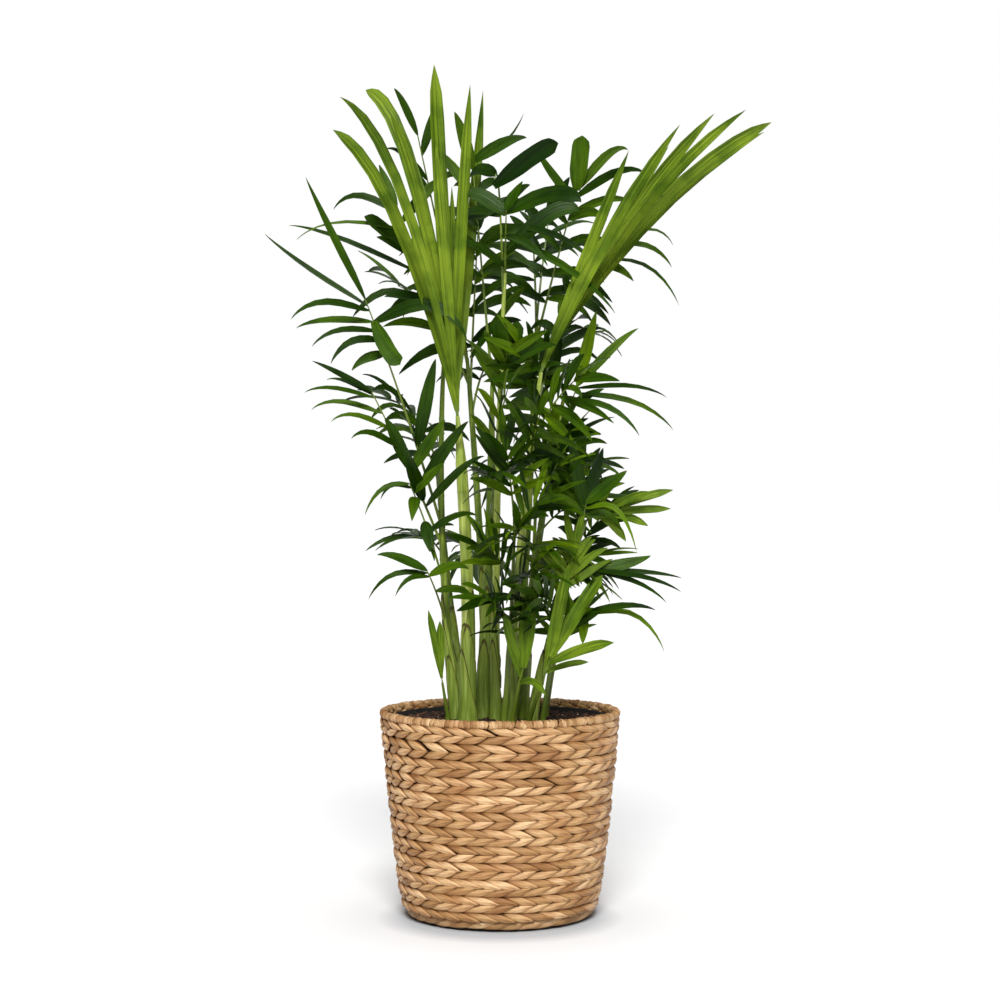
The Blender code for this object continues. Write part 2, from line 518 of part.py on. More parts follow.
class Space:
    """The room that is taken: what is placed so far, by owner, for tests against a new piece."""

    def __init__(self):
        self.taken = []

    def bounds_and_tree(self, corners, faces):
        """Lowest and highest corner of a piece, and its search tree."""
        low = Vector([min(corner[axis] for corner in corners) for axis in range(3)])
        high = Vector([max(corner[axis] for corner in corners) for axis in range(3)])
        return low, high, BVHTree.FromPolygons(corners, faces)

    def clear(self, corners, faces, owner):
        """True when a piece touches nothing of another owner."""
        low, high, tree = self.bounds_and_tree(corners, faces)
        for other, other_low, other_high, other_tree in self.taken:
            if other == owner:
                continue
            if any(low[axis] > other_high[axis] or high[axis] < other_low[axis] for axis in range(3)):
                continue
            if tree.overlap(other_tree):
                return False
        return True

    def add(self, corners, faces, owner):
        """Marks a piece's room as taken."""
        self.taken.append((owner, *self.bounds_and_tree(corners, faces)))


def rib_line(start, tip, arch, count):
    """Points of a rib that rises from start and arches over to tip."""
    span = tip - start
    bend = start + span * RIB_BEND + UP * span.length * arch * 2
    points = []
    for step in range(count):
        share = step / (count - 1)
        points.append(start * (1 - share) ** 2 + bend * 2 * share * (1 - share) + tip * share ** 2)
    return points


def rib_place(points, share):
    """The place and direction on a rib at a share of its length."""
    position = share * (len(points) - 1)
    index = min(int(position), len(points) - 2)
    direction = (points[index + 1] - points[index]).normalized()
    return points[index].lerp(points[index + 1], position - index), direction


def hooked(share):
    """Height of a bowed blade at a share of its length: it rises slowly and falls fast at its tip."""
    return BOW_GAIN * share ** BOW_RISE * (1 - share) ** BOW_FALL


def leaflet(leaf, along, length, width, thickness):
    """Corners and faces of one pointed leaflet with a flat upper side and a keel below it."""
    across = along.cross(leaf.upper).normalized()
    upper = across.cross(along).normalized()
    root = leaf.root + leaf.upper * LEAF_ROOT_THICKNESS / 2
    stations = [(0.0, LEAF_ROOT_WIDTH, LEAF_ROOT_THICKNESS), (LEAF_WIDEST, width, thickness)]
    if length > FAN_LEAF or leaf.width >= BLUNT_WIDTH:
        stations.append((BLUNT_SHOULDER, width * BLUNT_SHARE, thickness))
    elif length > LONG_LEAF or leaf.bow > BOWED_LEAF:
        stations.append((LEAF_SHOULDER, width * LEAF_SHOULDER_SHARE, thickness))
    corners = []
    for share, wide, deep in stations:
        arc = 4 * share * (1 - share) if length > FAN_LEAF else hooked(share)
        rise = leaf.bow * arc - length * leaf.fall * share ** 2
        middle = root + along * length * share + UP * rise
        corners.append(middle - across * wide / 2)
        corners.append(middle - upper * deep)
        corners.append(middle + across * wide / 2)
    corners.append(root + along * length - UP * length * leaf.fall)
    faces = [(0, 1, 2)]
    for ring in range(len(stations) - 1):
        base = ring * 3
        for side in range(3):
            following = (side + 1) % 3
            faces.append((base + side, base + following + 3, base + following))
            faces.append((base + side, base + side + 3, base + following + 3))
    last = (len(stations) - 1) * 3
    for side in range(3):
        faces.append((last + side, len(corners) - 1, last + (side + 1) % 3))
    return corners, faces


def leaflet_plan(frond):
    """Place, side, angle and length share of each leaflet, in pairs from the lowest to the tip."""
    plan = []
    for pair in range(frond.pairs):
        share = pair / max(frond.pairs - 1, 1)
        place = frond.bare + (LAST_PLACE - frond.bare) * (pair + PAIR_OFFSET) / frond.pairs
        if frond.young:
            reach = 1.0 - YOUNG_REACH_DROP * share
            angle = frond.spread * (YOUNG_SPREAD - YOUNG_SPREAD_DROP * share)
        else:
            swell = math.sin(math.pi * (SWELL_FROM + (SWELL_TO - SWELL_FROM) * share))
            reach = 1.0 - REACH_SWELL * (1.0 - swell)
            angle = frond.spread * (SPREAD - SPREAD_DROP * share)
        for side in (-1, 1):
            plan.append((place + PAIR_STAGGER * side, side, angle, reach))
    if frond.last:
        for side in (-1, 1):
            plan.append((END_PLACE, side, frond.spread * END_SPREAD, frond.last))
    return plan


def face_of(frond):
    """The way that the upper side of a frond faces."""
    facing = math.radians(frond.facing)
    return Vector((0.0, -math.sin(facing), math.cos(facing)))


def ruled_leaflets(frond, points, chance):
    """The leaflets that a frond grows in pairs by the rule."""
    sown = []
    for place, side, angle, reach in leaflet_plan(frond):
        root, direction = rib_place(points, place)
        across = direction.cross(face_of(frond)).normalized()
        upper = across.cross(direction).normalized()
        lean = math.radians(angle + chance.uniform(*ANGLE_VARIES) * frond.spread)
        lean += side * SWAY * math.sin(frond.node * SWAY_TURN)
        lift = LOW_LIFT * (1 - place) + chance.uniform(*LIFT_VARIES)
        along = direction * math.cos(lean) + across * side * math.sin(lean) + upper * lift
        length = frond.length * MM * reach * chance.uniform(*LENGTH_VARIES)
        width = frond.width * MM * chance.uniform(*WIDTH_VARIES)
        fall = frond.fall * chance.uniform(*FALL_VARIES) * (END_FALL if place == END_PLACE else 1.0)
        sown.append(Leaflet(root, along.normalized(), across * side, upper, length, width, fall, 0.0))
    return sown


def leaned(tip, root, number):
    """A tip moved to the front or back along the line from the eye."""
    eye = Vector((0.0, -EYE_DISTANCE, EYE_HEIGHT))
    shift = (tip - root).length * DEPTH_SHARE * math.sin(number * DEPTH_TURN)
    return eye + (tip - eye) * (1 + shift / (tip.y - eye.y))


def named_leaflets(blades, frond, points):
    """The leaflets that have their own rows, each from its place on the rib to its tip."""
    sown = []
    for number, blade in enumerate(blades):
        root = rib_place(points, blade.place)[0]
        reach = leaned(Vector(blade.tip) * MM, root, number) - root
        along = reach.normalized()
        across = along.cross(face_of(frond)).normalized()
        upper = across.cross(along).normalized()
        width = blade.width * MM
        sown.append(Leaflet(root, along, across, upper, reach.length, width, 0.0, blade.bow * MM))
    return sown


def grow_leaflets(name, sown, space):
    """The leaflets of one owner that find room, each as corners and faces."""
    grown = []
    for leaf in sown:
        thickness = max(LEAF_MIN_THICKNESS, leaf.length * LEAF_THICKNESS_SHARE)
        for attempt in range(TRIES):
            swing = attempt * (-1) ** attempt
            along = leaf.along + (leaf.across * TURN_STEP + leaf.upper * LIFT_STEP) * swing
            along.normalize()
            length = leaf.length * (1.0 - SHORTEN_STEP * attempt)
            trial = leaflet(leaf, along, length + GAP, leaf.width + 2 * GAP, thickness + 2 * GAP)
            if space.clear(*trial, name):
                made = leaflet(leaf, along, length, leaf.width, thickness)
                space.add(*made, name)
                grown.append(made)
                break
    return grown


def join_pieces(body, pieces):
    """Unites a body with its ribs and leaflets by one Boolean on a collection, and applies it."""
    tools = bpy.data.collections.new(body.name + "_pieces")
    bpy.context.scene.collection.children.link(tools)
    for number, (corners, faces) in enumerate(pieces):
        mesh = bpy.data.meshes.new(f"{body.name}_piece_{number}")
        mesh.from_pydata(corners, [], faces)
        tools.objects.link(bpy.data.objects.new(mesh.name, mesh))
    join = body.modifiers.new("join", "BOOLEAN")
    join.operation = "UNION"
    join.operand_type = "COLLECTION"
    join.collection = tools
    join.solver = JOIN_SOLVER
    graph = bpy.context.evaluated_depsgraph_get()
    joined = bpy.data.meshes.new_from_object(body.evaluated_get(graph))
    body.modifiers.clear()
    body.data = joined
    for tool in list(tools.objects):
        bpy.data.objects.remove(tool, do_unlink=True)
    bpy.data.collections.remove(tools)


def rib_start(frond, lines, rib_radius):
    """Where a rib begins beside its stem, above its head or in its own shoot, and the way out there."""
    points, radii = lines[frond.stem][:2]
    height = frond.node * MM
    centre, radius = along_line(points, radii, height)
    outward = Vector(frond.tip) * MM - centre
    if frond.stem in SHOOTS:
        return centre, outward.normalized()
    lean = Vector((outward.x, outward.y)).length / outward.length
    if height >= points[-1].z - GAP:
        return centre + UP * (SEAT_GAP + rib_radius * lean), UP
    outward.z = 0.0
    outward.normalize()
    return centre + outward * (radius + SEAT_GAP + rib_radius), outward


def seated_rib(owner, frond, lines, radii):
    """The points and mesh of a rib whose base is moved until it almost touches its stem."""
    stem_tree = lines[frond.stem][2]
    start, outward = rib_start(frond, lines, radii[0])
    fused = owner in SHOOTS
    for move in range(1 if fused else SEAT_MOVES + 1):
        points = rib_line(start, Vector(frond.tip) * MM, frond.arch, len(radii))
        mesh = tube_mesh(owner, points, radii, 0)
        base = [vert.co for vert in mesh.vertices if (vert.co - points[0]).length < radii[0] * BASE_REACH]
        free = min(stem_tree.find_nearest(corner)[3] for corner in base)
        start = start - outward * (free - SEAT_GAP)
    while not fused and BVHTree.FromPolygons(*mesh_lists(mesh)).overlap(stem_tree):
        start = start + outward * SEAT_STEP
        points = rib_line(start, Vector(frond.tip) * MM, frond.arch, len(radii))
        mesh = tube_mesh(owner, points, radii, 0)
    return points, mesh


def rib_radii(length, count):
    """Radii along a rib, thick at its base and thin at its tip."""
    base = RIB_BASE + RIB_GAIN * length
    return [base + (RIB_END - base) * step / (count - 1) for step in range(count)]


def build_stems(table, lines, coat, collection, space):
    """Every stem of a table as a tapered tube that stands on the soil."""
    for name, stem in table.items():
        points, radii = stem_line(stem)
        mesh = tube_mesh(name, points, radii, 1 if table is STEMS else 0)
        lines[name] = (points, radii, BVHTree.FromPolygons(*mesh_lists(mesh)))
        shade_round(mesh)
        space.add(*mesh_lists(mesh), name)
        add_object(name, mesh, coat, collection)


def build_ribs(lines, space):
    """Every rib, before any leaflet, so that leaflets grow round all of them."""
    ribs = []
    rows = list(FRONDS.items()) + [(frond.stem, frond) for frond in SHOOT_FRONDS]
    for owner, frond in rows:
        node = along_line(*lines[frond.stem][:2], frond.node * MM)[0]
        length = (Vector(frond.tip) * MM - node).length
        count = SHORT_RIB_POINTS if owner in SHOOTS else RIB_POINTS
        points, mesh = seated_rib(owner, frond, lines, rib_radii(length, count))
        space.add(*mesh_lists(mesh), owner)
        ribs.append((owner, frond, points, mesh))
    return ribs


def build_plant(coats, collection):
    """Stems, then ribs, then leaflets, each clear of what stands already."""
    space = Space()
    lines = {}
    graph = bpy.context.evaluated_depsgraph_get()
    for body in collection.objects:
        space.add(*mesh_lists(body.evaluated_get(graph).to_mesh()), body.name)
    build_stems(STEMS, lines, coats["stem"], collection, space)
    build_stems(SHOOTS, lines, coats["stem"], collection, space)
    pieces = {name: [] for name in [*FRONDS, *SHOOTS]}
    ribs = build_ribs(lines, space)
    for owner, frond, points, mesh in ribs:
        if owner in SHOOTS:
            pieces[owner].append(mesh_lists(mesh))
        else:
            add_object(owner, mesh, coats["young" if frond.young else "leaf"], collection)
    for owner, frond, points, mesh in ribs:
        pieces[owner] += grow_leaflets(owner, named_leaflets(BLADES.get(owner, ()), frond, points), space)
    chance = random.Random(SEED)
    for owner, frond, points, mesh in ribs:
        pieces[owner] += grow_leaflets(owner, ruled_leaflets(frond, points, chance), space)
    for owner, parts in pieces.items():
        join_pieces(collection.objects[owner], parts)


def build():
    """The whole potted palm."""
    parts = start_scene()
    coats = {
        "basket": material("basket_hyacinth", (0.53, 0.30, 0.145), 0.75),
        "liner": material("liner_black", (0.012, 0.012, 0.012), 0.6),
        "soil": material("soil_dark", (0.03, 0.014, 0.008), 0.95),
        "stem": material("stem_green", (0.25, 0.29, 0.08), 0.5),
        "leaf": material("leaf_green", (0.035, 0.085, 0.012), 0.42),
        "young": material("leaf_young", (0.16, 0.27, 0.02), 0.42),
    }
    build_basket(coats["basket"], parts)
    narrow, wide, low = build_liner(coats["liner"], parts)
    build_soil(narrow, wide, low, coats["soil"], parts)
    build_plant(coats, parts)


build()
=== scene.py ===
"""A potted parlor palm in a braided basket: the finish of every surface, dressed over its solids.

Metres, +Z up. The origin is the middle of the basket's flat underside, and the front faces -Y.
Tables hold millimetres, turned to metres by MM.
"""
import math
import random
from collections import namedtuple

import bmesh
import bpy
from mathutils import Matrix, Vector, noise
from mathutils.bvhtree import BVHTree


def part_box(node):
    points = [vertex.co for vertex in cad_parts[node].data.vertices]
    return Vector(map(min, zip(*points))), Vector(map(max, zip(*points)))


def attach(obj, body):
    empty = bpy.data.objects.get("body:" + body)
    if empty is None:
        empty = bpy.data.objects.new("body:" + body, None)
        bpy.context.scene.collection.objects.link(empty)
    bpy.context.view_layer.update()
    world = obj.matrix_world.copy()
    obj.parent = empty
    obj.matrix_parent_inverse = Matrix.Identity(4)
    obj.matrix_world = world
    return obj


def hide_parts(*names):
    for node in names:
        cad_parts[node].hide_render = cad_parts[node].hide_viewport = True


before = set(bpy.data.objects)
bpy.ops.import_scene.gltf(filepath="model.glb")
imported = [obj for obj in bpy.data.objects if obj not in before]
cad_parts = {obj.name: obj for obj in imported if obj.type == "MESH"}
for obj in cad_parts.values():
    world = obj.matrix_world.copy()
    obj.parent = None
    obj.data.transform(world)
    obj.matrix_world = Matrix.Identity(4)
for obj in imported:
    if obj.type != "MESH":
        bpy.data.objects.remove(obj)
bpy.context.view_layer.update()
MM = 0.001
UP = Vector((0.0, 0.0, 1.0))

# The studio is a white floor, with a painted contact shadow round the basket's foot, in a white room,
# lit softly from above and from the front. A long lens at half the plant's height looks level along +Y,
# so that one pixel is one millimetre at Y = 0.
CAMERA_DISTANCE = 2.0
CAMERA_HEIGHT = 0.413
LENS = 72.0
SENSOR = 36.0
FLOOR_SIDE = 120.0
ROOM_GLOW = 0.16

bpy.context.scene.view_settings.view_transform = "Standard"
camera_data = bpy.data.cameras.new("camera")
camera_data.lens = LENS
camera_data.sensor_width = SENSOR
camera = bpy.data.objects.new("camera", camera_data)
camera.location = (0.0, -CAMERA_DISTANCE, CAMERA_HEIGHT)
camera.rotation_euler = (math.radians(90), 0.0, 0.0)
bpy.context.scene.collection.objects.link(camera)
bpy.context.scene.camera = camera

room = bpy.data.worlds.new("white_room")
room.use_nodes = True
white_wall = room.node_tree.nodes["Background"]
white_wall.inputs["Color"].default_value = (1.0, 1.0, 1.0, 1.0)
dim_wall = room.node_tree.nodes.new("ShaderNodeBackground")
dim_wall.inputs["Color"].default_value = (1.0, 1.0, 1.0, 1.0)
dim_wall.inputs["Strength"].default_value = ROOM_GLOW
ray = room.node_tree.nodes.new("ShaderNodeLightPath")
wall_mix = room.node_tree.nodes.new("ShaderNodeMixShader")
room.node_tree.links.new(ray.outputs["Is Camera Ray"], wall_mix.inputs["Fac"])
room.node_tree.links.new(dim_wall.outputs["Background"], wall_mix.inputs[1])
room.node_tree.links.new(white_wall.outputs["Background"], wall_mix.inputs[2])
room.node_tree.links.new(wall_mix.outputs["Shader"], room.node_tree.nodes["World Output"].inputs["Surface"])
bpy.context.scene.world = room


def soft_sun(name, aim, spread, power):
    """A studio light that is far off and wide, shining along aim."""
    lamp = bpy.data.lights.new(name, "SUN")
    lamp.angle = math.radians(spread)
    lamp.energy = power
    holder = bpy.data.objects.new(name, lamp)
    holder.rotation_euler = Vector(aim).to_track_quat("-Z", "Y").to_euler()
    bpy.context.scene.collection.objects.link(holder)


soft_sun("key_light", (0.0, 1.1, -1.0), 22, 3.0)
soft_sun("top_light", (-0.04, -0.1, -1.0), 70, 1.2)


def start_finish(name, roughness):
    """A material with its Principled shader ready, and its node tree."""
    finish = bpy.data.materials.new(name)
    finish.use_nodes = True
    shader = finish.node_tree.nodes["Principled BSDF"]
    shader.inputs["Roughness"].default_value = roughness
    return finish, finish.node_tree, shader


def object_place(tree, stretch=(1.0, 1.0, 1.0), shift=(0.0, 0.0, 0.0)):
    """The place on the object as a texture vector, stretched along the axes and shifted."""
    source = tree.nodes.new("ShaderNodeTexCoord")
    mapping = tree.nodes.new("ShaderNodeMapping")
    mapping.inputs["Location"].default_value = shift
    mapping.inputs["Scale"].default_value = stretch
    tree.links.new(source.outputs["Object"], mapping.inputs["Vector"])
    return mapping.outputs["Vector"]


def map_place(tree, layer, stretch=(1.0, 1.0, 1.0)):
    """The place on a piece's own UV layer as a texture vector."""
    source = tree.nodes.new("ShaderNodeUVMap")
    source.uv_map = layer
    mapping = tree.nodes.new("ShaderNodeMapping")
    mapping.inputs["Scale"].default_value = stretch
    tree.links.new(source.outputs["UV"], mapping.inputs["Vector"])
    return mapping.outputs["Vector"]


def speckle(tree, place, scale, detail=3.0):
    """Noise as a value from 0 to 1."""
    cloud = tree.nodes.new("ShaderNodeTexNoise")
    cloud.inputs["Scale"].default_value = scale
    cloud.inputs["Detail"].default_value = detail
    tree.links.new(place, cloud.inputs["Vector"])
    return cloud.outputs["Fac"]


def tinted(tree, value, stops):
    """A colour that runs through stops, each a position and a colour, with the value."""
    ramp = tree.nodes.new("ShaderNodeValToRGB")
    while len(ramp.color_ramp.elements) < len(stops):
        ramp.color_ramp.elements.new(0.5)
    for element, (position, colour) in zip(ramp.color_ramp.elements, stops):
        element.position = position
        element.color = (*colour, 1.0)
    tree.links.new(value, ramp.inputs["Fac"])
    return ramp.outputs["Color"]


def mixed(tree, mode, share, first, second):
    """Two colours mixed, by a share that is a number or a socket."""
    mix = tree.nodes.new("ShaderNodeMix")
    mix.data_type = "RGBA"
    mix.blend_type = mode
    if isinstance(share, float):
        mix.inputs["Factor"].default_value = share
    else:
        tree.links.new(share, mix.inputs["Factor"])
    tree.links.new(first, mix.inputs["A"])
    tree.links.new(second, mix.inputs["B"])
    return mix.outputs["Result"]


def raised(tree, shader, height, strength, depth):
    """Relief on the shader from a height value, depth in metres."""
    bump = tree.nodes.new("ShaderNodeBump")
    bump.inputs["Strength"].default_value = strength
    bump.inputs["Distance"].default_value = depth
    tree.links.new(height, bump.inputs["Height"])
    tree.links.new(bump.outputs["Normal"], shader.inputs["Normal"])


floor_mesh = bpy.data.meshes.new("studio_floor")
half = FLOOR_SIDE / 2
floor_corners = [(-half, -half, 0.0), (half, -half, 0.0), (half, half, 0.0), (-half, half, 0.0)]
floor_mesh.from_pydata(floor_corners, [], [(0, 1, 2, 3)])
floor = bpy.data.objects.new("studio_floor", floor_mesh)
bpy.context.scene.collection.objects.link(floor)
floor_finish, floor_tree, floor_shader = start_finish("floor_white", 0.7)
# Painted shadow: the floor's colour darkens and turns a little cooler in a soft ring round the basket's foot, set a
# little forward of it, in place of a contact shadow.
painted_foot_shadow = floor_tree.nodes.new("ShaderNodeTexGradient")
painted_foot_shadow.gradient_type = "SPHERICAL"
floor_tree.links.new(object_place(floor_tree, (3.4, 3.4, 1.0), (0.0, 0.06, 0.0)), painted_foot_shadow.inputs["Vector"])
floor_white_and_painted_shadow = tinted(floor_tree, painted_foot_shadow.outputs["Fac"],
                     [(0.0, (0.95, 0.95, 0.95)), (0.4, (0.93, 0.94, 0.95)), (0.58, (0.87, 0.89, 0.91)),
                      (0.68, (0.58, 0.61, 0.64))])
floor_tree.links.new(floor_white_and_painted_shadow, floor_shader.inputs["Base Color"])
floor_shader.inputs["Specular IOR Level"].default_value = 0.1
floor_mesh.materials.append(floor_finish)

# The basket is plaited from dried water hyacinth stalks. Its wall is a stack of level strips, whose
# strands are cut off slantwise, falling and rising by turns, so that two strips make a row of chevrons.
BASKET_HEIGHT = 205 * MM
BASKET_RIM_RADIUS = 120 * MM
BASKET_WAIST_RADIUS = 98 * MM
BASKET_FOOT_RADIUS = 84 * MM
BASKET_FOOT_HEIGHT = 15 * MM
BASKET_WALL = 7 * MM
BASKET_FLARE = 0.8
BASKET_FLOOR = 8 * MM
RIM_ROLL = 3.4 * MM
TURN_STEPS = 96
STRIPS = 24
STRIP_TOP = 198.4 * MM
STRIP_PITCH = 8.15 * MM
STRANDS_ROUND = 34
STRAND_LENGTH = 38 * MM
STRAND_TAPER = 18 * MM
STRAND_WIDTH = 8.3 * MM
STRAND_DEPTH = 3.3 * MM
STRAND_BEND = 1.5 * MM
STRAND_LIFT = 2.1 * MM
STRAND_LEAN = math.radians(6)
WALL_LEAN = math.radians(6.6)
STRAND_RINGS = 11


def basket_radius(height):
    """Outer radius of the plaited wall at a height."""
    share = max(height - BASKET_FOOT_HEIGHT, 0.0) / (BASKET_HEIGHT - BASKET_FOOT_HEIGHT)
    return BASKET_WAIST_RADIUS + (BASKET_RIM_RADIUS - BASKET_WAIST_RADIUS) * share ** BASKET_FLARE


def link_piece(name, mesh, *finishes):
    """Links a mesh as a piece of the object with its materials."""
    mesh.materials.clear()
    for finish in finishes:
        mesh.materials.append(finish)
    piece = bpy.data.objects.new(name, mesh)
    bpy.context.scene.collection.objects.link(piece)
    return piece


def turned_mesh(name, profile, steps, wobble=None):
    """A closed surface of revolution from a profile of radius and height, with a pole at each end."""
    shape = bmesh.new()
    rings = []
    for radius, height in profile:
        if radius < 1e-6:
            rings.append([shape.verts.new((0.0, 0.0, height))])
            continue
        ring = []
        for step in range(steps):
            turn = 2 * math.pi * step / steps
            place = Vector((radius * math.cos(turn), radius * math.sin(turn), height))
            ring.append(shape.verts.new(place + (wobble(place) if wobble else Vector())))
        rings.append(ring)
    for low, high in zip(rings, rings[1:]):
        for step in range(steps):
            after = (step + 1) % steps
            if len(low) == 1:
                shape.faces.new((low[0], high[step], high[after]))
            elif len(high) == 1:
                shape.faces.new((low[step], high[0], low[after]))
            else:
                shape.faces.new((low[step], high[step], high[after], low[after]))
    bmesh.ops.recalc_face_normals(shape, faces=shape.faces)
    mesh = bpy.data.meshes.new(name)
    shape.to_mesh(mesh)
    shape.free()
    mesh.shade_smooth()
    mesh.set_sharp_from_angle(angle=math.radians(55))
    return mesh


def ringed_mesh(name, rings, layer=None):
    """A closed mesh from rings of points, capped at both ends, with a UV layer along and around."""
    sides = len(rings[0])
    corners = [point for ring in rings for point in ring]
    faces = [tuple(reversed(range(sides)))]
    for ring in range(len(rings) - 1):
        for side in range(sides):
            after = (side + 1) % sides
            base = ring * sides
            faces.append((base + side, base + after, base + sides + after, base + sides + side))
    faces.append(tuple(range((len(rings) - 1) * sides, len(rings) * sides)))
    mesh = bpy.data.meshes.new(name)
    mesh.from_pydata(corners, [], faces)
    if layer:
        uvs = mesh.uv_layers.new(name=layer)
        for face in mesh.polygons:
            for loop in face.loop_indices:
                vertex = mesh.loops[loop].vertex_index
                around = vertex % sides
                if around == 0 and any(mesh.loops[other].vertex_index % sides == sides - 1
                                       for other in face.loop_indices):
                    around = sides
                uvs.data[loop].uv = (vertex // sides / (len(rings) - 1), around / sides)
    mesh.shade_smooth()
    return mesh


def strand_mesh(lean):
    """One stalk of a strip: it rises (lean 1) or falls (lean -1), and one end lies over the next stalk."""
    rings = []
    for step in range(STRAND_RINGS):
        along = (-0.985 + 1.97 * step / (STRAND_RINGS - 1)) * STRAND_LENGTH / 2
        from_end = STRAND_LENGTH / 2 - abs(along)
        swell = math.sin(min(from_end / STRAND_TAPER, 1.0) * math.pi / 2) ** 1.05
        share = 2 * along / STRAND_LENGTH
        shift = lean * (math.copysign(STRAND_WIDTH / 4, along) * (1 - swell) + along * math.tan(STRAND_LEAN))
        dive = STRAND_BEND * share ** 2 - STRAND_LIFT * share
        deep = STRAND_DEPTH * (0.3 + 0.7 * swell)
        ring = []
        for across, out in ((1.0, -0.2), (0.86, 0.62), (0.42, 0.95), (-0.1, 1.0), (-0.6, 0.86), (-0.93, 0.5),
                            (-1.0, -0.2), (0.0, -0.5)):
            ring.append((along, dive - out * deep, shift + across * STRAND_WIDTH / 2 * swell))
        rings.append(ring)
    return ringed_mesh("strand", rings, "stalk")


def wrap_mesh(width, roll):
    """One turn of the stalk that is wound round the rim, as a short saddle over the roll."""
    rings = []
    for step in range(9):
        turn = math.radians(-55 + 290 * step / 8)
        ring = []
        for share in (-0.5, -0.3, 0.0, 0.3, 0.5):
            swell = roll * (1.1 + 0.13 * (1 - (2 * share) ** 2))
            ring.append((share * width, -math.cos(turn) * swell, math.sin(turn) * swell))
        for share in (0.4, -0.4):
            ring.append((share * width, -math.cos(turn) * roll * 0.6, math.sin(turn) * roll * 0.6))
        rings.append(ring)
    return ringed_mesh("wrap", rings, "stalk")


class Weave:
    """A geometry tree that lays copies of one stalk piece, built node by node."""

    def __init__(self, name, sizes):
        self.tree = bpy.data.node_groups.new(name, "GeometryNodeTree")
        face = self.tree.interface
        face.new_socket("Geometry", in_out="INPUT", socket_type="NodeSocketGeometry")
        face.new_socket("Stalk", in_out="INPUT", socket_type="NodeSocketObject")
        for label, value in sizes.items():
            kind = "NodeSocketInt" if isinstance(value, int) else "NodeSocketFloat"
            face.new_socket(label, in_out="INPUT", socket_type=kind).default_value = value
        face.new_socket("Geometry", in_out="OUTPUT", socket_type="NodeSocketGeometry")
        self.given = self.tree.nodes.new("NodeGroupInput").outputs
        self.sizes = sizes

    def join(self, value, socket):
        """Sets a socket from another socket or from a plain number."""
        if isinstance(value, bpy.types.NodeSocket):
            self.tree.links.new(value, socket)
        else:
            socket.default_value = value

    def math(self, operation, first, second=0.0, third=0.0):
        """One sum of two or three values."""
        node = self.tree.nodes.new("ShaderNodeMath")
        node.operation = operation
        for value, socket in zip((first, second, third), node.inputs):
            self.join(value, socket)
        return node.outputs[0]

    def vector(self, across, along, up):
        """Three values as one vector."""
        node = self.tree.nodes.new("ShaderNodeCombineXYZ")
        for value, socket in zip((across, along, up), node.inputs):
            self.join(value, socket)
        return node.outputs[0]

    def chance(self, low, high, seed, number=None):
        """A seeded random value for each point, or for each number."""
        node = self.tree.nodes.new("FunctionNodeRandomValue")
        node.data_type = "FLOAT"
        node.inputs[2].default_value = low
        node.inputs[3].default_value = high
        node.inputs["Seed"].default_value = seed
        if number is not None:
            self.join(number, node.inputs["ID"])
        return node.outputs[1]

    def lay(self, count, place, turn, size, finish, seed=77):
        """Puts the stalk at each of count points, realizes it and gives it its finish."""
        nodes = self.tree.nodes
        links = self.tree.links
        line = nodes.new("GeometryNodeMeshLine")
        self.join(count, line.inputs["Count"])
        moved = nodes.new("GeometryNodeSetPosition")
        links.new(line.outputs["Mesh"], moved.inputs["Geometry"])
        links.new(place, moved.inputs["Position"])
        stalk = nodes.new("GeometryNodeObjectInfo")
        links.new(self.given["Stalk"], stalk.inputs["Object"])
        stalk.inputs["As Instance"].default_value = True
        turned = nodes.new("FunctionNodeEulerToRotation")
        links.new(turn, turned.inputs["Euler"])
        laid = nodes.new("GeometryNodeInstanceOnPoints")
        links.new(moved.outputs["Geometry"], laid.inputs["Points"])
        links.new(stalk.outputs["Geometry"], laid.inputs["Instance"])
        links.new(turned.outputs["Rotation"], laid.inputs["Rotation"])
        links.new(size, laid.inputs["Scale"])
        tone = nodes.new("GeometryNodeStoreNamedAttribute")
        tone.domain = "INSTANCE"
        tone.data_type = "FLOAT"
        tone.inputs["Name"].default_value = "tone"
        links.new(self.chance(0.0, 1.0, seed), tone.inputs["Value"])
        links.new(laid.outputs["Instances"], tone.inputs["Geometry"])
        real = nodes.new("GeometryNodeRealizeInstances")
        links.new(tone.outputs["Geometry"], real.inputs["Geometry"])
        painted = nodes.new("GeometryNodeSetMaterial")
        painted.inputs["Material"].default_value = finish
        links.new(real.outputs["Geometry"], painted.inputs["Geometry"])
        links.new(painted.outputs["Geometry"], nodes.new("NodeGroupOutput").inputs["Geometry"])

    def made(self, name, stalk_mesh, finish):
        """Runs the tree once and returns its result as a plain piece."""
        stalk = bpy.data.objects.new("stalk", stalk_mesh)
        bpy.context.scene.collection.objects.link(stalk)
        holder = bpy.data.objects.new(name, bpy.data.meshes.new(name))
        bpy.context.scene.collection.objects.link(holder)
        weave = holder.modifiers.new("weave", "NODES")
        weave.node_group = self.tree
        for socket in self.tree.interface.items_tree:
            if socket.in_out == "INPUT" and socket.name == "Stalk":
                weave[socket.identifier] = stalk
            elif socket.in_out == "INPUT" and socket.name in self.sizes:
                weave[socket.identifier] = self.sizes[socket.name]
        graph = bpy.context.evaluated_depsgraph_get()
        mesh = bpy.data.meshes.new_from_object(holder.evaluated_get(graph))
        bpy.data.objects.remove(holder, do_unlink=True)
        bpy.data.objects.remove(stalk, do_unlink=True)
        mesh.name = name
        return link_piece(name, mesh, finish)


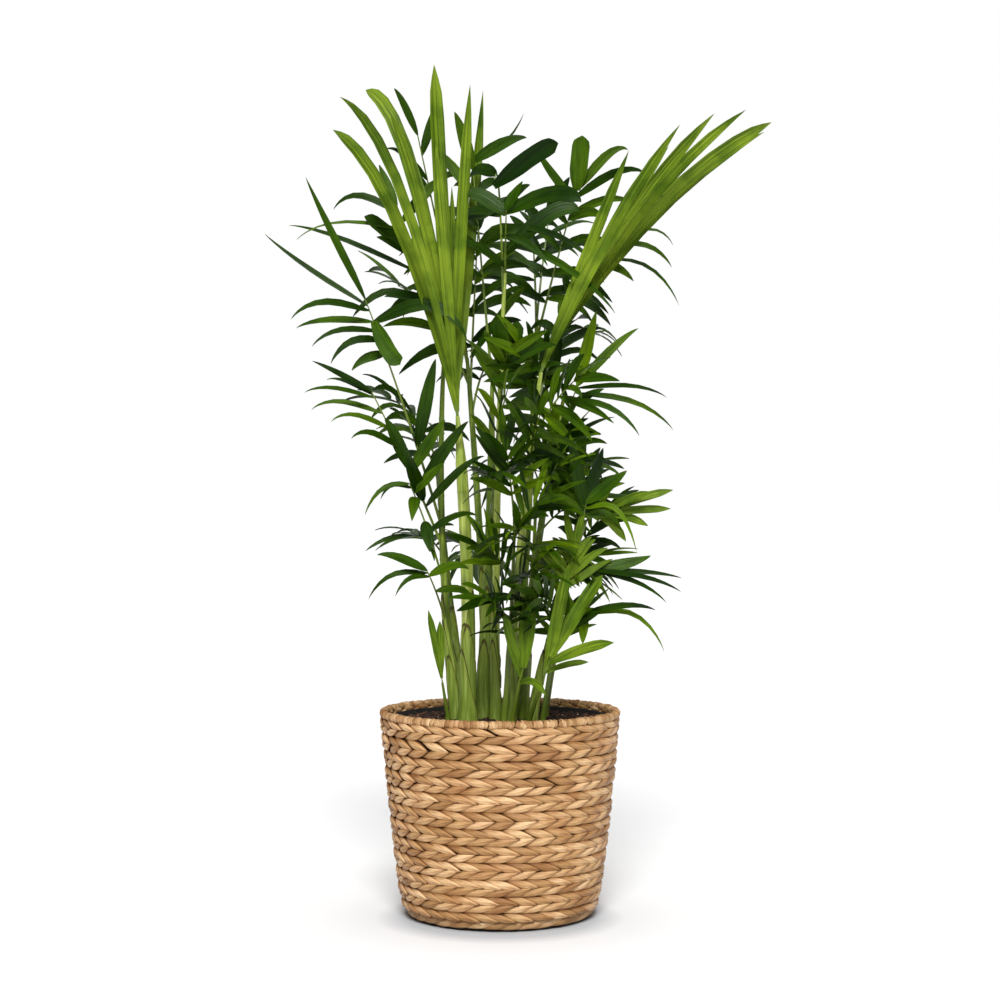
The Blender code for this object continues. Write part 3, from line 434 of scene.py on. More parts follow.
def stalk_finish(name, shade, painted_crease_shade=True):
    """Dried stalk: tan with a tone for each strand, pale and brown fibres along it, the palest streaks whitened partly
    as painted highlight, a soft sheen, and optionally painted shade towards both ends and along both edges.
    """
    finish, tree, shader = start_finish(name, 0.5)
    tone = tree.nodes.new("ShaderNodeAttribute")
    tone.attribute_name = "tone"
    plain = tinted(tree, tone.outputs["Fac"], [
        (0.0, tuple(value * shade for value in (0.42, 0.225, 0.085))),
        (0.45, tuple(value * shade for value in (0.63, 0.385, 0.175))),
        (1.0, tuple(value * shade for value in (0.86, 0.59, 0.33))),
    ])
    fibres = speckle(tree, map_place(tree, "stalk", (0.9, 9.0, 1.0)), 2.0, 4.0)
    # Pale and brown fibres along the stalk; the palest streaks are whitened past the tan, partly real pale fibre and
    # partly painted highlight.
    streaks = tinted(tree, fibres, [(0.34, (0.42, 0.29, 0.18)), (0.5, (0.92, 0.87, 0.8)), (0.66, (1.2, 1.28, 1.4))])
    streaked = mixed(tree, "MULTIPLY", 0.85, plain, streaks)
    # Painted shade: the stalk darkens towards both ends, where it dives under the next one, and along both edges, where
    # it meets its neighbours; its middle is left a little lighter as painted highlight.
    if painted_crease_shade:
        length_share = tree.nodes.new("ShaderNodeSeparateXYZ")
        tree.links.new(map_place(tree, "stalk"), length_share.inputs["Vector"])
        painted_end_shade = tinted(tree, length_share.outputs["X"], [
            (0.0, (0.16, 0.1, 0.05)), (0.1, (0.55, 0.43, 0.3)), (0.28, (0.86, 0.8, 0.72)),
            (0.5, (1.05, 1.05, 1.05)), (0.9, (1.02, 1.0, 0.97)), (1.0, (0.42, 0.3, 0.2))])
        streaked = mixed(tree, "MULTIPLY", 1.0, streaked, painted_end_shade)
        painted_edge_shade = tinted(tree, length_share.outputs["Y"], [
            (0.0, (0.16, 0.09, 0.05)), (0.08, (0.84, 0.76, 0.68)), (0.16, (1.05, 1.05, 1.05)),
            (0.54, (1.05, 1.05, 1.05)), (0.66, (0.84, 0.75, 0.66)), (0.75, (0.16, 0.09, 0.05))])
        streaked = mixed(tree, "MULTIPLY", 1.0, streaked, painted_edge_shade)
    patches = tinted(tree, speckle(tree, object_place(tree), 42.0, 2.0),
                     [(0.34, (0.66, 0.48, 0.34)), (0.56, (1.0, 1.0, 1.0))])
    worn_and_shaded = mixed(tree, "MULTIPLY", 0.6, streaked, patches)
    tree.links.new(worn_and_shaded, shader.inputs["Base Color"])
    raised(tree, shader, fibres, 0.55, 0.9 * MM)
    shader.inputs["Specular IOR Level"].default_value = 0.35
    return finish


hyacinth = stalk_finish("hyacinth_stalk", 0.9)
hyacinth_pale = stalk_finish("hyacinth_pale", 1.05)
hyacinth_wound = stalk_finish("hyacinth_wound", 0.92, False)

for lean, side in ((-1, "falling"), (1, "rising")):
    strips = Weave("plait_" + side, {
        "Strips": STRIPS // 2,
        "Strands Round": STRANDS_ROUND,
        "Top": STRIP_TOP - (0.5 if lean < 0 else 1.5) * STRIP_PITCH,
        "Pitch": 2 * STRIP_PITCH,
    })
    number = strips.tree.nodes.new("GeometryNodeInputIndex").outputs[0]
    strip = strips.math("FLOOR", strips.math("DIVIDE", number, strips.given["Strands Round"]))
    step_round = strips.math("MODULO", number, strips.given["Strands Round"])
    drift = strips.math("ADD", strips.chance(-0.22, 0.22, 3 - lean, strip), 0.5 if lean < 0 else 0.35)
    steps = strips.math("ADD", strips.math("ADD", step_round, drift), strips.chance(-0.06, 0.06, 5))
    angle = strips.math("MULTIPLY", strips.math("DIVIDE", steps, strips.given["Strands Round"]), 2 * math.pi)
    height = strips.math("SUBTRACT", strips.given["Top"], strips.math("MULTIPLY", strip, strips.given["Pitch"]))
    height = strips.math("ADD", height, strips.chance(-0.3 * MM, 0.3 * MM, 9))
    rise = strips.math("MAXIMUM", strips.math("SUBTRACT", height, BASKET_FOOT_HEIGHT), 0.0)
    flare = strips.math("POWER", strips.math("DIVIDE", rise, BASKET_HEIGHT - BASKET_FOOT_HEIGHT), BASKET_FLARE)
    radius = strips.math("MULTIPLY_ADD", flare, BASKET_RIM_RADIUS - BASKET_WAIST_RADIUS, BASKET_WAIST_RADIUS)
    tuck = strips.math("MAXIMUM", strips.math("SUBTRACT", BASKET_FOOT_HEIGHT, height), 0.0)
    radius = strips.math("SUBTRACT", radius, strips.math("MULTIPLY", tuck, 0.55))
    sunk = strips.math("ADD", STRAND_DEPTH * 0.85, strips.chance(-0.35 * MM, 0.35 * MM, 13))
    radius = strips.math("SUBTRACT", radius, sunk)
    where = strips.vector(strips.math("MULTIPLY", strips.math("COSINE", angle), radius),
                          strips.math("MULTIPLY", strips.math("SINE", angle), radius), height)
    slant = strips.chance(-0.04, 0.04, 17)
    way = strips.vector(WALL_LEAN, slant, strips.math("ADD", angle, math.pi / 2))
    scale = strips.vector(strips.chance(0.9, 1.12, 19), strips.chance(0.85, 1.12, 23), strips.chance(0.94, 1.04, 29))
    strips.lay(strips.math("MULTIPLY", strips.given["Strips"], strips.given["Strands Round"]),
               where, way, scale, hyacinth, 80 + lean)
    plait = strips.made("plait_" + side, strand_mesh(lean), hyacinth)
    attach(plait, "root")

# The rim is one more stalk, wound tightly round the top of the wall in short turns.
RIM_WRAPS = 176
RIM_RADIUS = BASKET_RIM_RADIUS - RIM_ROLL - 0.4 * MM
RIM_HEIGHT = BASKET_HEIGHT - RIM_ROLL - 0.9 * MM

rim = Weave("rim_wraps", {"Wraps": RIM_WRAPS, "Rim Radius": RIM_RADIUS, "Rim Height": RIM_HEIGHT})
number = rim.tree.nodes.new("GeometryNodeInputIndex").outputs[0]
steps = rim.math("ADD", number, rim.chance(-0.3, 0.3, 5))
angle = rim.math("MULTIPLY", rim.math("DIVIDE", steps, rim.given["Wraps"]), 2 * math.pi)
where = rim.vector(rim.math("MULTIPLY", rim.math("COSINE", angle), rim.given["Rim Radius"]),
                   rim.math("MULTIPLY", rim.math("SINE", angle), rim.given["Rim Radius"]),
                   rim.math("ADD", rim.given["Rim Height"], rim.chance(-0.3 * MM, 0.3 * MM, 7)))
way = rim.vector(rim.chance(-0.15, 0.15, 9), rim.chance(-0.1, 0.55, 11), rim.math("ADD", angle, math.pi / 2))
scale = rim.vector(rim.chance(0.7, 1.4, 13), rim.chance(0.94, 1.04, 15), rim.chance(0.9, 1.04, 17))
rim.lay(rim.given["Wraps"], where, way, scale, hyacinth_wound)
rim_piece = rim.made("rim_wraps", wrap_mesh(5.2 * MM, RIM_ROLL), hyacinth_wound)
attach(rim_piece, "root")

# Inside, one plait shows above the nursery pot. Under the basket, plaits in rings close the flat base.
inner = Weave("inner_plait", {"Strands Round": STRANDS_ROUND, "Height": 196.5 * MM, "Radius": 113.6 * MM})
number = inner.tree.nodes.new("GeometryNodeInputIndex").outputs[0]
lower = inner.math("MODULO", number, 2.0)
sign = inner.math("SUBTRACT", 1.0, inner.math("MULTIPLY", lower, 2.0))
angle = inner.math("MULTIPLY", inner.math("DIVIDE", number, inner.given["Strands Round"]), math.pi)
where = inner.vector(inner.math("MULTIPLY", inner.math("COSINE", angle), inner.given["Radius"]),
                     inner.math("MULTIPLY", inner.math("SINE", angle), inner.given["Radius"]),
                     inner.math("MULTIPLY_ADD", sign, 2.6 * MM, inner.given["Height"]))
way = inner.vector(0.0, inner.math("MULTIPLY", sign, 0.24), inner.math("SUBTRACT", angle, math.pi / 2))
scale = inner.vector(inner.chance(0.85, 1.0, 19), 0.55, inner.chance(0.6, 0.7, 29))
inner.lay(inner.math("MULTIPLY", inner.given["Strands Round"], 2.0), where, way, scale, hyacinth_pale)
inner_piece = inner.made("inner_plait", strand_mesh(1), hyacinth_pale)
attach(inner_piece, "root")

BASE_RINGS = 5
BASE_PITCH = 16 * MM
BASE_SHORT = 0.62
for ring in range(BASE_RINGS):
    ring_radius = (ring + 0.5) * BASE_PITCH
    round_count = max(5, round(2 * math.pi * ring_radius / (STRAND_LENGTH * 0.66)))
    base = Weave(f"base_ring_{ring}", {"Strands Round": round_count, "Radius": ring_radius})
    number = base.tree.nodes.new("GeometryNodeInputIndex").outputs[0]
    sign = base.math("SUBTRACT", 1.0, base.math("MULTIPLY", base.math("MODULO", number, 2.0), 2.0))
    angle = base.math("MULTIPLY", base.math("DIVIDE", number, base.given["Strands Round"]), math.pi)
    away = base.math("MULTIPLY_ADD", sign, BASE_PITCH * 0.23, base.given["Radius"])
    where = base.vector(base.math("MULTIPLY", base.math("COSINE", angle), away),
                        base.math("MULTIPLY", base.math("SINE", angle), away), 2.4 * MM)
    way = base.vector(math.pi / 2, 0.0, base.math("ADD", angle, base.math("MULTIPLY_ADD", sign, -0.3, math.pi / 2)))
    scale = base.vector(BASE_SHORT if ring == 0 else 0.9, 0.62, base.chance(0.9, 1.05, 29))
    base.lay(base.math("MULTIPLY", base.given["Strands Round"], 2.0), where, way, scale, hyacinth)
    base_piece = base.made(f"base_ring_{ring}", strand_mesh(1), hyacinth)
    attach(base_piece, "root")

# Behind the plaits the basket is a core of packed stalks, coloured near black as painted shade. It shows in the small
# gaps between them.
core_profile = [(0.0, BASKET_FLOOR), (BASKET_FOOT_RADIUS - BASKET_WALL, BASKET_FLOOR)]
for step in range(9):
    core_height = BASKET_FOOT_HEIGHT + BASKET_FLOOR + (199 * MM - BASKET_FOOT_HEIGHT - BASKET_FLOOR) * step / 8
    core_profile.append((basket_radius(core_height) - BASKET_WALL + 0.6 * MM, core_height))
core_profile.append((BASKET_RIM_RADIUS - RIM_ROLL, BASKET_HEIGHT - 1.6 * MM))
for step in range(13):
    core_height = 198 * MM + (BASKET_FOOT_HEIGHT - 198 * MM) * step / 12
    core_profile.append((basket_radius(core_height) - 4.4 * MM, core_height))
core_profile.append((BASKET_FOOT_RADIUS + 2 * MM, 4.5 * MM))
core_profile.append((BASKET_FOOT_RADIUS - 4 * MM, 2.6 * MM))
core_profile.append((0.0, 2.6 * MM))
core_finish, tree, shader = start_finish("packed_stalks_painted_shade", 0.9)
# Painted shade: a near-black brown, so that the gaps between the strands read as deep shadow.
core_painted_shade = tinted(tree, speckle(tree, object_place(tree, (1, 1, 5)), 120.0),
                    [(0.3, (0.02, 0.008, 0.003)), (0.75, (0.09, 0.042, 0.016))])
tree.links.new(core_painted_shade, shader.inputs["Base Color"])
raised(tree, shader, speckle(tree, object_place(tree, (1, 1, 6)), 240.0), 0.6, 1.0 * MM)
core = link_piece("basket_core", turned_mesh("basket_core", core_profile, TURN_STEPS), core_finish)
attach(core, "root")
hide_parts("basket")

# The nursery pot is thin black plastic with a plain edge that ends just under the basket's rim.
liner_low, liner_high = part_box("liner")
LINER_WALL = 1.5 * MM
liner_wide = liner_high.x
liner_narrow = BASKET_FOOT_RADIUS - BASKET_WALL - 2 * MM
liner_top = liner_high.z
liner_profile = [
    (0.0, liner_low.z + LINER_WALL),
    (liner_narrow - LINER_WALL, liner_low.z + LINER_WALL),
    (liner_wide - LINER_WALL, liner_top - 1.0 * MM),
    (liner_wide - LINER_WALL * 0.8, liner_top - 0.2 * MM),
    (liner_wide - LINER_WALL * 0.5, liner_top),
    (liner_wide - 0.2 * MM, liner_top - 0.3 * MM),
    (liner_wide, liner_top - 1.2 * MM),
    (liner_narrow, liner_low.z),
    (0.0, liner_low.z),
]
liner_finish, tree, shader = start_finish("nursery_pot_black", 0.5)
liner_shade = tinted(tree, speckle(tree, object_place(tree), 90.0),
                     [(0.3, (0.009, 0.009, 0.009)), (0.8, (0.022, 0.021, 0.02))])
tree.links.new(liner_shade, shader.inputs["Base Color"])
raised(tree, shader, speckle(tree, object_place(tree), 900.0), 0.2, 0.3 * MM)
liner = link_piece("nursery_pot", turned_mesh("nursery_pot", liner_profile, TURN_STEPS), liner_finish)
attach(liner, "root")
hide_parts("liner")

# The potting soil is dark peat, heaped a little and crumbly, with loose crumbs, bark chips, short
# fibres and a few pale grains on it.
soil_low, soil_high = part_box("soil")
SOIL_TOP = soil_high.z
SOIL_CROWN = 0.9 * MM
SOIL_FLAT_SHARE = 0.62
SOIL_RINGS = 34
soil_reach = soil_high.x


def soil_height(radius):
    """Height of the soil's surface, flat in the middle and lower towards the pot."""
    flat = soil_reach * SOIL_FLAT_SHARE
    if radius < flat:
        return SOIL_TOP
    return SOIL_TOP - SOIL_CROWN * (radius - flat) / (soil_reach - flat)


def crumble(place):
    """The soil's rough surface: lumps and grit as a shift of the point."""
    lumps = noise.noise(place * 60) * 1.6 * MM + noise.noise(place * 190) * 1.0 * MM
    return UP * (lumps + noise.noise(place * 420) * 0.6 * MM - 0.4 * MM)


soil_profile = [(0.0, SOIL_TOP - 0.5 * MM)]
for ring in range(1, SOIL_RINGS + 1):
    ring_radius = (soil_reach - 0.5 * MM) * ring / SOIL_RINGS
    soil_profile.append((ring_radius, soil_height(ring_radius)))
soil_mesh = turned_mesh("soil_top", soil_profile + [(soil_reach - 1 * MM, 150 * MM), (0.0, 150 * MM)],
                        TURN_STEPS, lambda place: crumble(place) if place.z > 160 * MM else Vector())
soil_finish, tree, shader = start_finish("potting_soil", 0.95)
soil_shade = tinted(tree, speckle(tree, object_place(tree), 260.0, 5.0), [
    (0.3, (0.009, 0.0035, 0.002)), (0.52, (0.045, 0.017, 0.009)), (0.74, (0.15, 0.06, 0.03))])
tree.links.new(soil_shade, shader.inputs["Base Color"])
raised(tree, shader, speckle(tree, object_place(tree), 500.0, 4.0), 0.9, 1.6 * MM)
shader.inputs["Specular IOR Level"].default_value = 0.2
soil = link_piece("soil_top", soil_mesh, soil_finish)
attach(soil, "root")
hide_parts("soil")


def scattered_soil(name, count, seed, size_low, size_high, long, stalk, finish):
    """Loose bits on the soil, laid by a seeded tree on a disc."""
    bits = Weave(name, {"Count": count, "Reach": soil_reach - 4 * MM})
    away = bits.math("MULTIPLY", bits.math("SQRT", bits.chance(0.0, 1.0, seed)), bits.given["Reach"])
    angle = bits.chance(0.0, 2 * math.pi, seed + 1)
    drop = bits.math("MAXIMUM", bits.math("SUBTRACT", away, soil_reach * SOIL_FLAT_SHARE), 0.0)
    fall = bits.math("MULTIPLY", drop, SOIL_CROWN / (soil_reach * (1 - SOIL_FLAT_SHARE)))
    level = bits.math("SUBTRACT", bits.chance(SOIL_TOP - 0.6 * MM, SOIL_TOP + 1.3 * MM, seed + 2), fall)
    where = bits.vector(bits.math("MULTIPLY", bits.math("COSINE", angle), away),
                        bits.math("MULTIPLY", bits.math("SINE", angle), away), level)
    way = bits.vector(bits.chance(-0.5, 0.5, seed + 3), bits.chance(-0.4, 0.4, seed + 4), bits.chance(0, 6.28, seed + 5))
    size = bits.chance(size_low, size_high, seed + 6)
    scale = bits.vector(bits.math("MULTIPLY", size, long), size, bits.math("MULTIPLY", size, 0.8))
    bits.lay(bits.given["Count"], where, way, scale, finish)
    piece = bits.made(name, stalk, finish)
    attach(piece, "root")
    return piece


def crumb_mesh(seed):
    """A rough lump of unit size."""
    shape = bmesh.new()
    bmesh.ops.create_icosphere(shape, subdivisions=1, radius=1.0)
    for vertex in shape.verts:
        vertex.co *= 1.0 + 0.35 * noise.noise(vertex.co * 1.7 + Vector((seed, 0, 0)))
    mesh = bpy.data.meshes.new("crumb")
    shape.to_mesh(mesh)
    shape.free()
    return mesh


def bit_finish(name, colour, lighter):
    """A plain dry bit with a speckled colour."""
    finish, tree, shader = start_finish(name, 0.9)
    tree.links.new(tinted(tree, speckle(tree, object_place(tree), 300.0), [(0.35, colour), (0.75, lighter)]),
                   shader.inputs["Base Color"])
    return finish


scattered_soil("soil_crumbs", 1500, 100, 0.7 * MM, 2.3 * MM, 1.2, crumb_mesh(1),
               bit_finish("soil_crumb", (0.012, 0.005, 0.003), (0.07, 0.03, 0.016)))
scattered_soil("bark_chips", 220, 200, 0.8 * MM, 1.9 * MM, 2.4, crumb_mesh(5),
               bit_finish("bark_chip", (0.06, 0.024, 0.013), (0.2, 0.085, 0.042)))
scattered_soil("pale_grains", 46, 300, 0.6 * MM, 1.2 * MM, 1.0, crumb_mesh(9),
               bit_finish("pale_grain", (0.42, 0.36, 0.28), (0.7, 0.66, 0.58)))
scattered_soil("soil_fibres", 260, 400, 0.25 * MM, 0.4 * MM, 26.0, crumb_mesh(13),
               bit_finish("dry_fibre", (0.09, 0.035, 0.018), (0.28, 0.14, 0.07)))

# The ten canes rise from the soil, ringed where old leaves stood. Each keeps the line, bow and taper
# that its solid has.
SOIL_SOLID_TOP = 193 * MM
GAP = 0.3 * MM
STEM_CUT = 5 * MM
FLARE_REACH = 14 * MM
FLARE_GAIN = 0.35
STEM_SPANS = 6
TOP_RADIUS = 1.9 * MM
Stem = namedtuple("Stem", "foot head bow foot_width head_width")
STEMS = {
    "stem_1": Stem((-44, 4), (-56, 8, 560), (-8, 0), 9, 4.5),
    "stem_2": Stem((-32, -16), (-42, -26, 496), (4, 0), 14, 11),
    "stem_3": Stem((-18, 13), (-8, 24, 530), (2, 0), 13, 6),
    "stem_4": Stem((-4, -3), (5, 2, 640), (-3, 0), 9, 4),
    "stem_5": Stem((9, -21), (40, -44, 538), (-4, 0), 10, 6),
    "stem_6": Stem((22, 9), (64, 8, 515), (-6, 0), 10, 5),
    "stem_7": Stem((32, -15), (84, -34, 392), (-4, 0), 8, 4.5),
    "stem_8": Stem((-12, 36), (-34, 66, 560), (2, 4), 10, 5),
    "stem_9": Stem((16, 40), (38, 62, 600), (2, 0), 10, 5),
    "stem_10": Stem((-36, 30), (-66, 78, 455), (-2, 2), 8, 4.5),
}
SHOOTS = {
    "shoot_1": Stem((-52, -14), (-57, -20, 232), (0, 0), 4, 2.4),
    "shoot_2": Stem((12, -52), (19, -70, 240), (0, 0), 5, 2.6),
    "shoot_3": Stem((42, -38), (58, -48, 310), (0, 0), 5, 2.6),
    "shoot_4": Stem((46, 20), (76, 38, 374), (0, 0), 5.5, 2.6),
    "shoot_5": Stem((28, -54), (41, -74, 238), (0, 0), 5, 2.6),
    "shoot_6": Stem((4, -37), (14, -50, 400), (2, 0), 6, 3),
    "shoot_7": Stem((22, -4), (36, -22, 430), (2, 0), 6, 3),
}
CANE_SIDES = 14
CANE_STEP = 4 * MM
RING_PITCH = (24, 42)


def cane_place(stem, rise):
    """Centre and radius of a cane at a rise above its foot, by the rule of its solid."""
    foot = Vector((stem.foot[0], stem.foot[1], 0.0)) * MM
    foot.z = SOIL_SOLID_TOP + GAP
    head = Vector(stem.head) * MM
    bow = Vector((stem.bow[0], stem.bow[1], 0.0)) * MM
    start = foot + UP * STEM_CUT
    share = max(rise - STEM_CUT, 0.0) / (head.z - start.z)
    centre = start.lerp(head, share) + bow * 4 * share * (1 - share)
    if rise < STEM_CUT:
        centre = foot.lerp(start, rise / STEM_CUT)
    taper = rise / (head.z - foot.z)
    radius = (stem.foot_width + (stem.head_width - stem.foot_width) * taper) * MM / 2
    radius -= max(stem.head_width * MM / 2 - TOP_RADIUS, 0.0) * max((share - 1) * STEM_SPANS + 1, 0.0)
    return centre, radius * (1 + FLARE_GAIN * math.exp(-rise / FLARE_REACH))


def ring_round(centre, direction, radius, sides, turn=0.0, squeeze=1.0, side=None):
    """Points of a ring round a centre, square to a direction."""
    across = (side or Vector((1.0, 0.0, 0.0))).cross(direction)
    if across.length < 1e-6:
        across = Vector((0.0, 1.0, 0.0)).cross(direction)
    across.normalize()
    other = direction.cross(across).normalized()
    points = []
    for step in range(sides):
        angle = turn + 2 * math.pi * step / sides
        points.append(centre + across * math.cos(angle) * radius + other * math.sin(angle) * radius * squeeze)
    return points


def cane_rings(stem, chance):
    """Rings of points up a cane, with a low step and a pale scar at each old leaf."""
    height = stem.head[2] * MM - SOIL_SOLID_TOP - GAP
    scars = []
    level = chance.uniform(14, 26) * MM
    while level < height - 8 * MM:
        scars.append(level)
        level += chance.uniform(*RING_PITCH) * MM * (0.75 + 0.5 * level / height)
    levels = {0.0, height}
    step = CANE_STEP
    while step < height:
        levels.add(step)
        step += CANE_STEP * 2.4
    for scar in scars:
        levels.update((scar - 2.2 * MM, scar - 0.7 * MM, scar, scar + 0.7 * MM, scar + 2.4 * MM))
    rings = []
    for level in sorted(levels):
        centre, radius = cane_place(stem, level)
        ahead, _ = cane_place(stem, min(level + MM, height))
        behind, _ = cane_place(stem, max(level - MM, 0.0))
        swell = sum(math.exp(-((level - scar) / (0.9 * MM)) ** 2) for scar in scars)
        rings.append(ring_round(centre, (ahead - behind).normalized(), radius + swell * 0.28 * MM, CANE_SIDES))
    return rings, scars


def add_rings(shape, rings, slot_of=None):
    """Adds a closed tube through rings of points to a growing mesh."""
    made = [[shape.verts.new(point) for point in ring] for ring in rings]
    sides = len(rings[0])
    shape.faces.new(reversed(made[0]))
    for number, (low, high) in enumerate(zip(made, made[1:])):
        for step in range(sides):
            after = (step + 1) % sides
            face = shape.faces.new((low[step], low[after], high[after], high[step]))
            face.material_index = slot_of(number) if slot_of else 0
    shape.faces.new(made[-1])


def finished_mesh(name, shape, sharp=50.0):
    """The growing mesh as a smooth-shaded mesh."""
    mesh = bpy.data.meshes.new(name)
    bmesh.ops.recalc_face_normals(shape, faces=shape.faces)
    shape.to_mesh(mesh)
    shape.free()
    mesh.shade_smooth()
    mesh.set_sharp_from_angle(angle=math.radians(sharp))
    return mesh


def cane_finish(name, dark, plain, pale):
    """Living cane: pale green with darker length streaks and brown flecks, waxy."""
    finish, tree, shader = start_finish(name, 0.42)
    streaks = speckle(tree, object_place(tree, (1.0, 1.0, 0.06)), 260.0, 3.0)
    plain = tinted(tree, streaks, [(0.3, dark), (0.55, plain), (0.8, pale)])
    flecks = tinted(tree, speckle(tree, object_place(tree), 210.0, 5.0), [(0.62, (1.0, 1.0, 1.0)), (0.74, (0.45, 0.3, 0.16))])
    tree.links.new(mixed(tree, "MULTIPLY", 0.8, plain, flecks), shader.inputs["Base Color"])
    raised(tree, shader, streaks, 0.25, 0.4 * MM)
    return finish


def scar_finish():
    """The ring that an old leaf leaves: tan and dry."""
    finish, tree, shader = start_finish("leaf_scar_tan", 0.8)
    tree.links.new(tinted(tree, speckle(tree, object_place(tree), 180.0),
                          [(0.35, (0.2, 0.13, 0.05)), (0.7, (0.42, 0.32, 0.15))]), shader.inputs["Base Color"])
    return finish


chance = random.Random(41)
cane_green = cane_finish("cane_green", (0.04, 0.085, 0.002), (0.13, 0.2, 0.01), (0.34, 0.42, 0.06))
cane_pale = cane_finish("cane_pale", (0.17, 0.25, 0.018), (0.4, 0.5, 0.085), (0.66, 0.72, 0.2))
PALE_CANES = ("stem_2", "stem_4", "stem_5")
leaf_scar = scar_finish()
for name, stem in STEMS.items():
    shape = bmesh.new()
    rings, scars = cane_rings(stem, chance)
    levels = [(ring[0] + ring[CANE_SIDES // 2]).z / 2 - SOIL_SOLID_TOP - GAP for ring in rings]
    add_rings(shape, rings, lambda number: 1 if any(
        abs((levels[number] + levels[number + 1]) / 2 - scar) < 0.75 * MM for scar in scars) else 0)
    cane = link_piece(name + "_cane", finished_mesh(name, shape),
                      cane_pale if name in PALE_CANES else cane_green, leaf_scar)
    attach(cane, "root")
    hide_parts(name)

